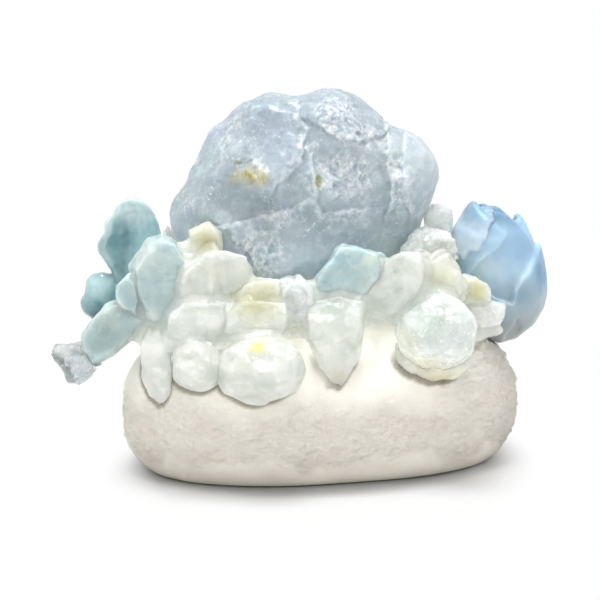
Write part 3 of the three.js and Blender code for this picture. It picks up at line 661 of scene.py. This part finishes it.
def makeChip(chip, number):
    piece = copyOf(chip["node"], chip["node"] + "_stone")
    cut = chip["cut"]
    low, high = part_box(chip["node"])
    select(piece)
    bpy.ops.object.mode_set(mode="EDIT")
    bpy.ops.mesh.select_all(action="SELECT")
    bpy.ops.transform.resize(value=[1 + 2 * cut["grow"] * mm / side for side in high - low],
                             center_override=(low + high) / 2)
    bpy.ops.object.mode_set(mode="OBJECT")
    remesh(piece, cut["skin"], cut["soften"])
    dice = random.Random(number)
    for kind, (size, depth), level, more in (
            ("VORONOI", cut["scoop"], 0.35, {"distance_metric": "DISTANCE_SQUARED"}),
            ("VORONOI", cut["chunk"], 0.8, {"distance_metric": "MANHATTAN"}),
            ("CLOUDS", cut["flake"], 0.5, {"noise_depth": 3})):
        turn = [dice.uniform(0, 90) for axis in "xyz"]
        shift = [dice.uniform(-40, 40) for axis in "xyz"]
        displace(piece, depth, pattern(kind, size, **more), level,
                 turned=placeholder(turn, at=shift))
    places = placesOf(piece)
    if "lean" in cut:
        upper = 6  # so much of its height leans
        share = ease((places[:, 2] - high.z / mm + upper) / upper)
        displace(piece, cut["lean"], group=weigh(piece, "upper", share), way="Y")
    heights = np.zeros(len(places))
    for form in chip.get("carving", []):
        away = np.linalg.norm((places - np.array(form["at"])) / np.array(form["half"]), axis=1)
        if "ring" in form:
            shape = np.exp(-((away - 1) / form["ring"]) ** 2)
        else:
            shape = ease((1 - away) * 2)
        heights += form["height"] * shape * ease(-places[:, 1] / 4)  # on its front alone
    if heights.any():
        carve(piece, heights)
        remesh(piece, cut["skin"], 3)
    return piece


# milky glue in the joints: the chips and the pebble as one body, its gaps closed
def makeGlue(glue, stones):
    piece = copyOf("base_pebble", "jointGlue")
    others = [bpy.data.objects.new("loose", stone.data.copy()) for stone in stones]
    for other in others:
        scene.collection.objects.link(other)
    select(piece, *others)
    bpy.ops.object.join()
    piece.data.materials.clear()
    remesh(piece, glue["skin"])
    displace(piece, glue["reach"])
    remesh(piece, glue["skin"])
    displace(piece, -glue["reach"] - glue["sunk"])
    bpy.ops.object.mode_set(mode="EDIT")
    bpy.ops.mesh.select_all(action="SELECT")
    bpy.ops.mesh.bisect(plane_co=(0, 0, glue["low"] * mm), plane_no=glue["up"], use_fill=True,
                        clear_inner=True)
    bpy.ops.object.mode_set(mode="OBJECT")
    remesh(piece, glue["skin"], 3)
    return piece


stones = {name: chipStone(name + "Stone", stone) for name, stone in finishes.items()}
made = []
for number, chip in enumerate(chips):
    piece = makeChip(chip, number)
    made.append(piece)
    finish(piece, chip["node"], stones[chip["stone"]])
chipPlaces = np.concatenate([placesOf(piece)[::2] for piece in made])  # half of them is enough
print("chips made:", len(chips))

glue = {
    "skin": 0.8,
    "reach": 2.2,  # how far out the gaps are closed
    "sunk": 0.45,
    "low": 40, "up": (-0.1, 0, 1),  # there is none below this plane
}
joints = makeGlue(glue, made)
joints.data.materials.append(stones["milky"])
bpy.ops.object.shade_smooth()
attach(joints, "root")
print("joints filled")


# The pebble: a cast stone, smooth on top and crumbly along its lower half and right end

pebble = {
    "node": "base_pebble",
    "rounding": (1.0, 25),  # a coarse skin, and how often it is smoothed
    "skin": 0.6,
    "foot": {"flat": 2.5, "over": 4},
    "band": {"low": 3, "high": 30, "below": 6, "above": 14},  # where its surface is broken
    "rightEnd": {"from": 30, "over": 14, "high": 52, "above": 10, "share": 0.9},
    "swell": {"size": 16, "depth": 0.7},
    "crumbs": {"size": 2.8, "depth": 1.0, "stretch": (1.5, 1.5, 0.75)},
    "wrinkles": {"size": 5, "depth": 0.6, "stretch": (2.0, 2.0, 0.8)},
    "grain": {"size": 1.3, "depth": 0.12},
    "top": paint(254, 252, 244),
    "cream": paint(254, 250, 239),
    "low": paint(204, 198, 187),
    "far": (0.82, 0.81, 0.81, 1),  # its right end is darker
    "blush": paint(247, 235, 222),
    "pitShade": paint(196, 189, 176),
    "shadowColour": paint(146, 140, 124),
    "stained": {  # painted shadow below the chips and to their left, less of it round one place
        "shift": (0.7, 0, 1.1), "fade": 1.0, "top": 37, "over": 5,
        "clean": {"at": (3.5, -28, 31), "half": (5, 20, 5), "core": 0.2, "left": 0.2}},
    "lit": {"reach": 9, "from": 32, "over": 6, "share": 0.5},  # painted light: a glow on its top near the chips, standing in for light through the clear chips
}


def makePebble(pebble):
    piece = copyOf(pebble["node"], "pebble")
    remesh(piece, *pebble["rounding"])
    remesh(piece, pebble["skin"], 2)
    places = placesOf(piece)
    x, y, z = wander(wander(places, 12, 4), 4, 2).T
    band, end, foot = pebble["band"], pebble["rightEnd"], pebble["foot"]
    above = ease((z - band["low"]) / band["below"])
    lower = above * ease((band["high"] - z) / band["above"])
    right = end["share"] * ease((x - end["from"]) / end["over"]) * above
    right = right * ease((end["high"] - z) / end["above"])
    rough = np.clip(np.maximum(lower, right), 0, 1)
    stands = ease((places[:, 2] - foot["flat"]) / foot["over"])
    mark(piece, "crumbly", rough)
    stained = pebble["stained"]
    # painted shadow: the chips' outlines, moved down and to the left, darken the pebble below them
    away = howFar(flattened(places + np.array(stained["shift"])), flattened(chipPlaces))
    low = ease((stained["top"] - places[:, 2]) / stained["over"])
    clean = stained["clean"]
    beyond = np.linalg.norm((places - np.array(clean["at"])) / clean["half"], axis=1)
    beyond = clean["left"] + (1 - clean["left"]) * ease(beyond - clean["core"])
    mark(piece, "stained", ease(1 - away / stained["fade"]) * low * beyond)
    # painted light: its top glows near the chips
    away = howFar(places, chipPlaces)
    lit = pebble["lit"]
    high = ease((places[:, 2] - lit["from"]) / lit["over"])
    mark(piece, "lit", ease(1 - away / lit["reach"]) * high)
    crumbly = weigh(piece, "crumbly", (rough + 0.05) * stands)
    skinned = weigh(piece, "skinned", stands)
    swell, grain = pebble["swell"], pebble["grain"]
    displace(piece, swell["depth"], pattern("CLOUDS", swell["size"], noise_depth=1), 0.5, skinned)
    hard = {"noise_depth": 4, "noise_type": "HARD_NOISE", "contrast": 1.8}
    for wear, kind in ((pebble["wrinkles"], {"noise_depth": 2, "noise_type": "HARD_NOISE"}),
                       (pebble["crumbs"], hard)):
        displace(piece, wear["depth"], pattern("CLOUDS", wear["size"], **kind), 0.4, crumbly,
                 placeholder(stretch=wear["stretch"]))
    displace(piece, grain["depth"], pattern("CLOUDS", grain["size"], noise_depth=2), 0.5, skinned)
    return piece


def plaster(pebble):
    material, start, place = newMaterial("castPlaster")
    rough = start.node("Attribute", {"attribute_name": "crumbly"}, {}, "Fac")
    stained = start.node("Attribute", {"attribute_name": "stained"}, {}, "Fac")
    lit = start.node("Attribute", {"attribute_name": "lit"}, {}, "Fac")
    height = place.part("Z")
    clouds = place.noise(14, 4)
    shaken = place.shaken(0.5, 3, 2.5)
    wrinkles = shaken.stretched(0.6, 0.6, 1.1).ridges(2.6, 6)
    fine = shaken.stretched(0.8, 0.8, 1.2).noise(1.0, 6, 0.72)
    colour = (height + clouds * 8).between(3, 17).mix(pebble["low"], pebble["cream"])
    colour = (height + clouds * 16).between(28, 48).mix(colour, pebble["top"])
    colour = (place.part("X") + clouds * 8).between(50, 64).mix(colour, pebble["far"], "MULTIPLY")
    blush = place.stretched(0.6, 0.6, 1).noise(6, 4).between(0.48, 0.66) * rough
    colour = (blush * 0.4).mix(colour, pebble["blush"])
    # painted shade in the hollows of the wrinkles
    hollows = (wrinkles.between(0.5, 0.1) + fine.between(0.46, 0.25)) * (rough + 0.08) * 0.1
    colour = hollows.mix(colour, pebble["pitShade"])
    # painted highlight on the wrinkles' crests
    crests = wrinkles.between(0.9, 1.3) * rough
    colour = (crests * 0.5).mix(colour, pebble["top"])
    # painted shadow below the chips
    colour = (stained * 0.85).mix(colour, pebble["shadowColour"])
    grain = bump(start, place.noise(0.45, 4, 0.7), 0.05)
    broken = bump(start, (fine + wrinkles) * (rough + 0.12), 0.8, grain)
    # painted light: near the chips its top is lighter and glows
    glow = (lit - lit * stained) * pebble["lit"]["share"]
    colour = (lit * 0.5).mix(colour, paint(250, 247, 236))
    paintedShine = glow.mix((0, 0, 0, 1), colour)
    surface(start, {"Base Color": colour, "Roughness": 0.85 + fine * 0.12, "Normal": broken,
                    "Specular IOR Level": 0.25, "Emission Color": paintedShine, "Emission Strength": 1.0})
    return material


finish(makePebble(pebble), pebble["node"], plaster(pebble))
print("pebble made")


# The lump of celestite: lobes and hollows from the solid, ledges and sugary breaks laid over them

lump = {
    "node": "celestite_lump",
    "skin": 0.42,
    "frost": [  # broken, sugary patches: place and half size
        {"at": (8, -6, 99), "half": (9, 12, 8)},
        {"at": (14, -8, 93), "half": (8, 10, 5)},
        {"at": (11, -12, 83), "half": (11, 9, 9)},
        {"at": (24.5, -9, 81), "half": (4, 8, 9), "share": 0.9},
        {"at": (-12, -12, 61), "half": (8, 9, 10)},
        {"at": (-15, -12, 84), "half": (7, 7, 5), "share": 0.8},
        {"at": (-8, -12, 71), "half": (10, 8, 4), "share": 0.6},
        {"at": (-21, -2, 96), "half": (5, 12, 6), "share": 0.6},
        {"at": (-12, 24, 78), "half": (12, 12, 12)},
        {"at": (14, 22, 66), "half": (11, 12, 9)},
        {"at": (6, 20, 94), "half": (9, 12, 7)},
    ],
    "ledges": [  # over the front in x and z: the left of each line stands proud
        {"line": [(-7, 80), (-4.5, 83.5), (-1.8, 86.7), (0.2, 90), (-0.3, 94.5), (-1.8, 99),
                  (-3.8, 104)],
         "fade": 8, "depth": 0.9},
        {"line": [(-2, 76), (-6.2, 73.6), (-10.5, 71.6), (-15.4, 70.6), (-20, 69.8)],
         "fade": 6, "depth": 1.0},
        {"line": [(21.4, 92), (21.7, 85), (22.3, 79.7), (21.6, 74)], "fade": 5, "depth": 0.9},
        {"line": [(27, 90), (26.5, 82.5), (27.2, 75)], "fade": 6, "depth": 0.8},
        {"line": [(-16, 101), (-20, 96), (-23, 90)], "fade": 5, "depth": 0.9},
        {"line": [(14, 74), (5, 73), (2, 78), (1.5, 86)], "fade": 5, "depth": 0.9},
        {"line": [(-20, 66), (-16, 62), (-13, 55)], "fade": 5, "depth": 1.0},
        {"line": [(2, 96.5), (8, 93), (14, 91.5), (20, 93)], "fade": 5, "depth": 0.8},
    ],
    "backLedges": [
        {"line": [(-20, 62), (-8, 66), (2, 74), (4, 84), (0, 96)], "fade": 8, "depth": 1.5},
        {"line": [(24, 80), (16, 72), (6, 66)], "fade": 7, "depth": 1.3},
        {"line": [(-28, 84), (-16, 88), (-8, 98)], "fade": 6, "depth": 1.2},
    ],
    "middle": 8,  # the y of its middle, between front and back
    "hues": [  # place, half size, share, colour
        ((-34, -4, 74), (20, 30, 22), 0.7, paint(154, 168, 172)),
        # painted light: lighter low on its left
        ((-30, -8, 62), (13, 16, 9), 0.8, paint(200, 213, 218)),
        ((-35, -4, 68), (9, 16, 7), 0.7, paint(212, 223, 226)),
        # painted shade: the next two darken its top
        ((-14, -4, 98), (18, 30, 12), 0.8, paint(158, 170, 181)),
        ((12, -4, 99), (14, 20, 8), 0.6, paint(176, 186, 196)),
        ((-6, -8, 90), (9, 16, 12), 0.5, paint(168, 180, 198)),
        ((-24, -8, 66), (9, 12, 6), 0.5, paint(160, 186, 188)),
        ((-11, -10, 76), (12, 14, 6), 0.8, paint(142, 161, 168)),
        ((1, -12, 72.5), (9, 14, 7), 0.7, paint(144, 162, 171)),
        # painted light: the next two lighten it low on its front
        ((4, -10, 58), (24, 16, 14), 0.8, paint(196, 211, 220)),
        ((22, -10, 62), (14, 16, 10), 0.8, paint(184, 201, 207)),
        ((32, -4, 86), (12, 20, 14), 0.7, paint(216, 225, 231))],
    "planes": {"size": 13, "depth": 0.9, "turn": (24, 35, 12)},
    "scoops": {"size": 6, "depth": 0.7, "turn": (50, 10, 25)},
    "chunks": {"size": 3.2, "depth": 0.9, "turn": (38, 20, 50)},
    "crumbs": {"size": 1.5, "depth": 0.4, "turn": (10, 45, 30)},
    "ripples": {"size": 5, "depth": 0.4},
}


def makeLump(lump):
    piece = copyOf(lump["node"], "celestite")
    apply(piece, "SUBSURF", levels=1, render_levels=1)
    remesh(piece, lump["skin"], 4)
    places = placesOf(piece)
    frayed = wander(wander(places, 5, 1.6), 1.8, 0.7)
    frost = nearSpots(frayed, lump["frost"])
    mark(piece, "frost", frost)
    rims, raised = np.zeros(len(places)), np.zeros(len(places))
    for side, ledges in ((-1, lump["ledges"]), (1, lump["backLedges"])):
        facing = ease((places[:, 1] - lump["middle"]) * side / 8)
        for ledge in ledges:
            proud = besideLine(frayed, ledge["line"], ledge["fade"])
            rims = np.maximum(rims, ease((proud - 0.8) / 0.2) * facing)
            raised += proud * facing * ledge["depth"]
    carve(piece, raised)
    mark(piece, "rim", rims)
    cracked = weigh(piece, "broken", 0.22 + 0.78 * frost)
    rough = weigh(piece, "frost", 0.12 + 0.88 * frost)
    planes, scoops, chunks, crumbs, ripples = (
        lump[part] for part in ("planes", "scoops", "chunks", "crumbs", "ripples"))
    flat = {"distance_metric": "MANHATTAN"}
    displace(piece, planes["depth"], pattern("VORONOI", planes["size"], **flat), 0.85,
             turned=placeholder(planes["turn"]))
    displace(piece, scoops["depth"],
             pattern("VORONOI", scoops["size"], distance_metric="DISTANCE_SQUARED"), 0.35,
             turned=placeholder(scoops["turn"]))
    displace(piece, ripples["depth"], pattern("CLOUDS", ripples["size"], noise_depth=3), 0.5)
    displace(piece, chunks["depth"], pattern("VORONOI", chunks["size"], **flat), 0.8, cracked,
             placeholder(chunks["turn"]))
    displace(piece, crumbs["depth"], pattern("VORONOI", crumbs["size"], **flat), 0.8, rough,
             placeholder(crumbs["turn"]))
    return piece


def celestiteStone(lump):
    material, start, place = newMaterial("celestiteStone")
    frost = start.node("Attribute", {"attribute_name": "frost"}, {}, "Fac")
    rim = start.node("Attribute", {"attribute_name": "rim"}, {}, "Fac")
    edges = start.node("NewGeometry", {}, {}, "Pointiness").between(0.505, 0.56)
    clouds = place.noise(16, 5, 0.55, 0.4)
    mottle = place.noise(3.2, 6, 0.62)
    colour = clouds.between(0.3, 0.7).mix(paint(158, 173, 180), paint(182, 193, 199))
    colour = (mottle.between(0.45, 0.75) * 0.5).mix(colour, paint(218, 225, 230))
    for at, half, share, tone in lump["hues"]:
        colour = (place.spot(at, half, ragged=0.5) * share).mix(colour, tone)
    white = paint(243, 246, 247)
    flakes = place.shaken(0.9, 3, 1.4).stretched(1, 1, 1.2, (0, 25, 0))
    flakes = flakes.cells(1.3, out="Color").part("X").between(0.35, 0.95)
    shards = place.shaken(0.9, 3, 0.8)
    tones = shards.cells(2.2, out="Color").part("X")
    seams = shards.cells(2.2, "DISTANCE_TO_EDGE").between(0.09, 0.02) * mottle.between(0.4, 0.6)
    speckle = place.noise(1.1, 5, 0.7).between(0.45, 0.68)
    sugar = frost * (flakes * 0.5 + tones * 0.2 + speckle * 0.3)
    colour = (sugar * 0.8).mix(colour, white)
    colour = (tones.between(0.5, 0.1) * frost * 0.4).mix(colour, paint(150, 172, 184))
    colour = (seams * (frost * 0.6 + 0.15)).mix(colour, white)
    lilac = place.noise(11, 3).between(0.5, 0.7)
    colour = (lilac * 0.35).mix(colour, paint(172, 182, 206))
    green = place.vector("ADD", (30, 0, 0)).noise(10, 3).between(0.52, 0.7)
    colour = (green * 0.35).mix(colour, paint(160, 186, 184))
    streaks = place.stretched(1, 1, 0.3, (0, 35, 0)).noise(2.4, 4, 0.6).between(0.52, 0.72)
    colour = (streaks * 0.3).mix(colour, paint(214, 222, 227))
    flecks = place.noise(0.9, 3, 0.6).between(0.6, 0.68) * place.noise(7, 3).between(0.42, 0.6)
    colour = (flecks * 0.75).mix(colour, white)
    # whiter along the ledges' crests and sharp edges: partly frost, partly a painted highlight
    broken = rim * place.noise(1.6, 4, 0.6).between(0.4, 0.6)
    colour = ((broken * 0.35).highest(edges * 0.25)).mix(colour, white)
    # painted shade: darker towards its top
    colour = place.part("Z").between(86, 102).mix(colour, (0.86, 0.88, 0.9, 1), "MULTIPLY")
    grains = place.noise(0.9, 4, 0.65)
    slant = place.stretched(1.6, 1, 0.4, (0, 40, 0)).noise(1.6, 4, 0.6).between(0.3, 0.5)
    gold = place.spot((-15, -12, 82.4), (8, 6, 3.8), ragged=1.6) * slant
    colour = (gold * 0.85).mix(colour, paint(204, 193, 128))
    nuggets = place.cells(1.3, out="Color").part("X")
    colour = (gold * nuggets.between(0.5, 0.8) * 0.7).mix(colour, paint(166, 150, 84))
    olive = place.spot((-18.6, -11, 86), (2.4, 4, 1.5), ragged=1.4)
    colour = (olive * 0.75).mix(colour, paint(122, 122, 84))
    seedRim = place.spot((3.3, -13.6, 81.1), (1.9, 5, 3.1), edge=0.5, ragged=0.8)
    seed = place.spot((3.3, -13.6, 81.3), (1.3, 5, 2.2), edge=0.4, ragged=0.8)
    colour = (seedRim * 0.4).mix(colour, paint(208, 210, 168))
    colour = (seed * grains.between(0.35, 0.5) * 0.8).mix(colour, paint(128, 136, 96))
    faces = place.facets(1.0) * (frost * 0.75 + 0.25) + shards.facets(2.2) * (frost * 0.5 + 0.1)
    grit = bump(start, place.noise(0.7, 4, 0.65), 0.06)
    relief = bump(start, faces, 0.8, grit)
    rough = 0.38 - mottle * 0.12 - frost * 0.06
    # a faint glow: painted light
    surface(start, {"Base Color": colour, "Roughness": rough, "Normal": relief, "IOR": 1.6,
                    "Subsurface Weight": 1.0, "Subsurface Radius": (1.0, 1.05, 1.15),
                    "Subsurface Scale": 4 * mm, "Transmission Weight": 0.12,
                    "Emission Color": colour, "Emission Strength": 0.1},
            (paint(200, 212, 222), 20))
    return material


finish(makeLump(lump), lump["node"], celestiteStone(lump))
print("lump made")


# The blossom: a bud of thick satin petals

blossom = {
    "node": "blue_blossom",
    "skin": 0.4,
    "soften": 55,
    "ruffle": {"size": 5, "depth": 0.7},
    "veil": {  # a thin pale petal over its left shoulder, with a torn edge: the line in x and z
        "line": [(38, 55.5), (41.8, 57), (48, 60.6), (51.9, 69), (53, 76)],
        "fade": 16, "depth": 0.7, "torn": 2.6, "teeth": 1.5},
    "heights": [  # its colours from foot to top; the grey at its foot is painted shade
        (0.0, paint(158, 162, 162)), (0.3, paint(166, 186, 196)), (0.55, paint(180, 208, 226)),
        (0.8, paint(172, 203, 224)), (1.0, paint(146, 180, 202))],
    "hues": [  # place, half size, share, colour
        ((61, 4, 61), (8, 14, 8), 0.6, paint(136, 174, 208)),
        ((66, 6, 54), (5, 14, 9), 0.8, paint(114, 152, 182)),
        ((60, 1, 48), (7, 9, 6), 0.7, paint(140, 162, 176)),
        ((50, 2, 55), (7, 9, 7), 0.8, paint(204, 221, 230)),
        ((47, 0, 62), (8, 10, 6), 0.5, paint(192, 222, 238)),
        # painted shade at its foot
        ((58, 4, 37), (12, 14, 6), 0.8, paint(158, 163, 163))],
    "crown": {"from": 64, "to": 71, "tint": (0.54, 0.62, 0.68, 1)},  # painted shade: darker towards its top, against the strong light from above
    "pale": paint(206, 221, 231),
    # a painted highlight near its top
    "paintedHighlight": {"at": (48.4, 5.3, 70.3), "half": (3.6, 9, 2.6), "colour": paint(170, 238, 255)},
}


def makeBlossom(blossom):
    piece = copyOf(blossom["node"], "blossom")
    remesh(piece, blossom["skin"], blossom["soften"])
    ruffle, veil = blossom["ruffle"], blossom["veil"]
    displace(piece, ruffle["depth"], pattern("CLOUDS", ruffle["size"], noise_depth=1), 0.6)
    places = placesOf(piece)
    torn = places.copy()
    drawn = places * (1, 1, 0.2)  # so that its teeth are long and thin
    torn[:, 2] += (wander(drawn, veil["teeth"], veil["torn"]) - drawn)[:, 2]
    cover = besideLine(torn, veil["line"], veil["fade"]) * ease((14 - places[:, 1]) / 6)
    carve(piece, cover * veil["depth"])
    mark(piece, "veil", cover)
    return piece


def satinResin(blossom):
    material, start, place = newMaterial("satinResin")
    veil = start.node("Attribute", {"attribute_name": "veil"}, {}, "Fac")
    low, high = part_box(blossom["node"])
    clouds = place.noise(9, 3)
    height = (place.part("Z") - low.z / mm) / ((high - low).z / mm) + (clouds - 0.5) * 0.3
    colour = start.node("ValToRGB", {"stops": blossom["heights"]}, {0: height})
    for at, half, share, tone in blossom["hues"]:
        colour = (place.spot(at, half, ragged=0.5) * share).mix(colour, tone)
    threads = place.stretched(1.6, 1.6, 0.25).noise(1.6, 4, 0.6).between(0.35, 0.65)
    colour = (veil * (threads * 0.35 + 0.6)).mix(colour, blossom["pale"])
    # painted highlight near its top
    paintedHighlight = blossom["paintedHighlight"]
    paintedShine = place.noise(1.4, 3).between(0.4, 0.6)
    paintedShine = place.spot(paintedHighlight["at"], paintedHighlight["half"], ragged=1.0) * paintedShine
    colour = (paintedShine * 0.8).mix(colour, paintedHighlight["colour"])
    edges = start.node("NewGeometry", {}, {}, "Pointiness").between(0.51, 0.56)
    colour = (edges * 0.35).mix(colour, blossom["pale"])
    crown = blossom["crown"]
    top = place.part("Z").between(crown["from"], crown["to"])
    colour = top.mix(colour, crown["tint"], "MULTIPLY")
    fine = bump(start, place.noise(2.4, 3), 0.08)
    surface(start, {"Base Color": colour, "Roughness": 0.32 + clouds * 0.12, "Normal": fine,
                    "Subsurface Weight": 1.0, "Subsurface Radius": (0.8, 1.0, 1.2),
                    "Subsurface Scale": 2 * mm, "IOR": 1.48})
    return material


finish(makeBlossom(blossom), blossom["node"], satinResin(blossom))
print("blossom made")


# The glazed petals

teal = {
    "node": "teal_petals",
    "skin": 0.34,
    "soften": 14,
    "ruffle": {"size": 4, "depth": 0.7},
    "deep": paint(104, 156, 163),
    "pool": paint(142, 182, 187),
    "rim": paint(206, 226, 226),
    "hues": [  # place, half size, share, colour
        ((-44, -7, 63), (3.5, 12, 9), 0.6, paint(172, 206, 211)),
        # painted highlight on the curl's top
        ((-57, -6, 51), (6, 9, 4.5), 0.8, paint(200, 226, 229)),
        # painted shade under the curl
        ((-57, -5, 43.5), (9, 10, 5), 0.95, paint(66, 104, 114)),
        ((-46, -7, 66.5), (4, 12, 3), 0.6, paint(138, 188, 197)),
        ((-43.5, -7, 60), (5, 12, 11), 0.6, paint(148, 196, 206)),
        ((-56, -6, 61), (4, 12, 8), 0.6, paint(164, 186, 186)),
        ((-50, -6, 62), (2.6, 12, 9), 0.5, paint(100, 148, 156)),
        ((-49.3, -7, 64.5), (1.6, 12, 6), 0.7, paint(92, 134, 138)),
        ((-52, -6, 56), (4, 10, 6), 0.6, paint(96, 134, 138)),
        ((-55.5, -6, 68), (4, 10, 4), 0.8, paint(218, 232, 232)),
        # painted highlight on the hood's top
        ((-49, -5, 73.5), (11, 12, 7.5), 0.95, paint(240, 250, 251))],
}


def makeTeal(teal):
    piece = copyOf(teal["node"], "glazedPetals")
    remesh(piece, teal["skin"], teal["soften"])
    ruffle = teal["ruffle"]
    displace(piece, ruffle["depth"], pattern("CLOUDS", ruffle["size"], noise_depth=1), 0.5)
    return piece


def tealGlaze(teal):
    material, start, place = newMaterial("tealGlaze")
    clouds = place.noise(6, 4)
    edges = start.node("NewGeometry", {}, {}, "Pointiness").between(0.47, 0.56)
    colour = clouds.between(0.3, 0.7).mix(teal["deep"], teal["pool"])
    for at, half, share, tone in teal["hues"]:
        colour = (place.spot(at, half, ragged=0.5) * share).mix(colour, tone)
    colour = (edges * 0.55).mix(colour, teal["rim"])
    fine = bump(start, place.noise(3, 3), 0.06)
    surface(start, {"Base Color": colour, "Roughness": 0.16 + clouds * 0.08, "Normal": fine,
                    "Subsurface Weight": 0.4, "Subsurface Radius": (0.8, 1.0, 1.0),
                    "Subsurface Scale": 1.2 * mm, "Coat Weight": 1.0, "Coat Roughness": 0.05})
    return material


finish(makeTeal(teal), teal["node"], tealGlaze(teal))
print("glazed petals made")


for empty in [o for o in scene.objects if o.type == "EMPTY" and not o.name.startswith("body:")]:
    bpy.data.objects.remove(empty)

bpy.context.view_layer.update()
triangles = sum(len(f.vertices) - 2 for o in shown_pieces() for f in o.data.polygons)
print("sizes written;", triangles, "triangles shown")
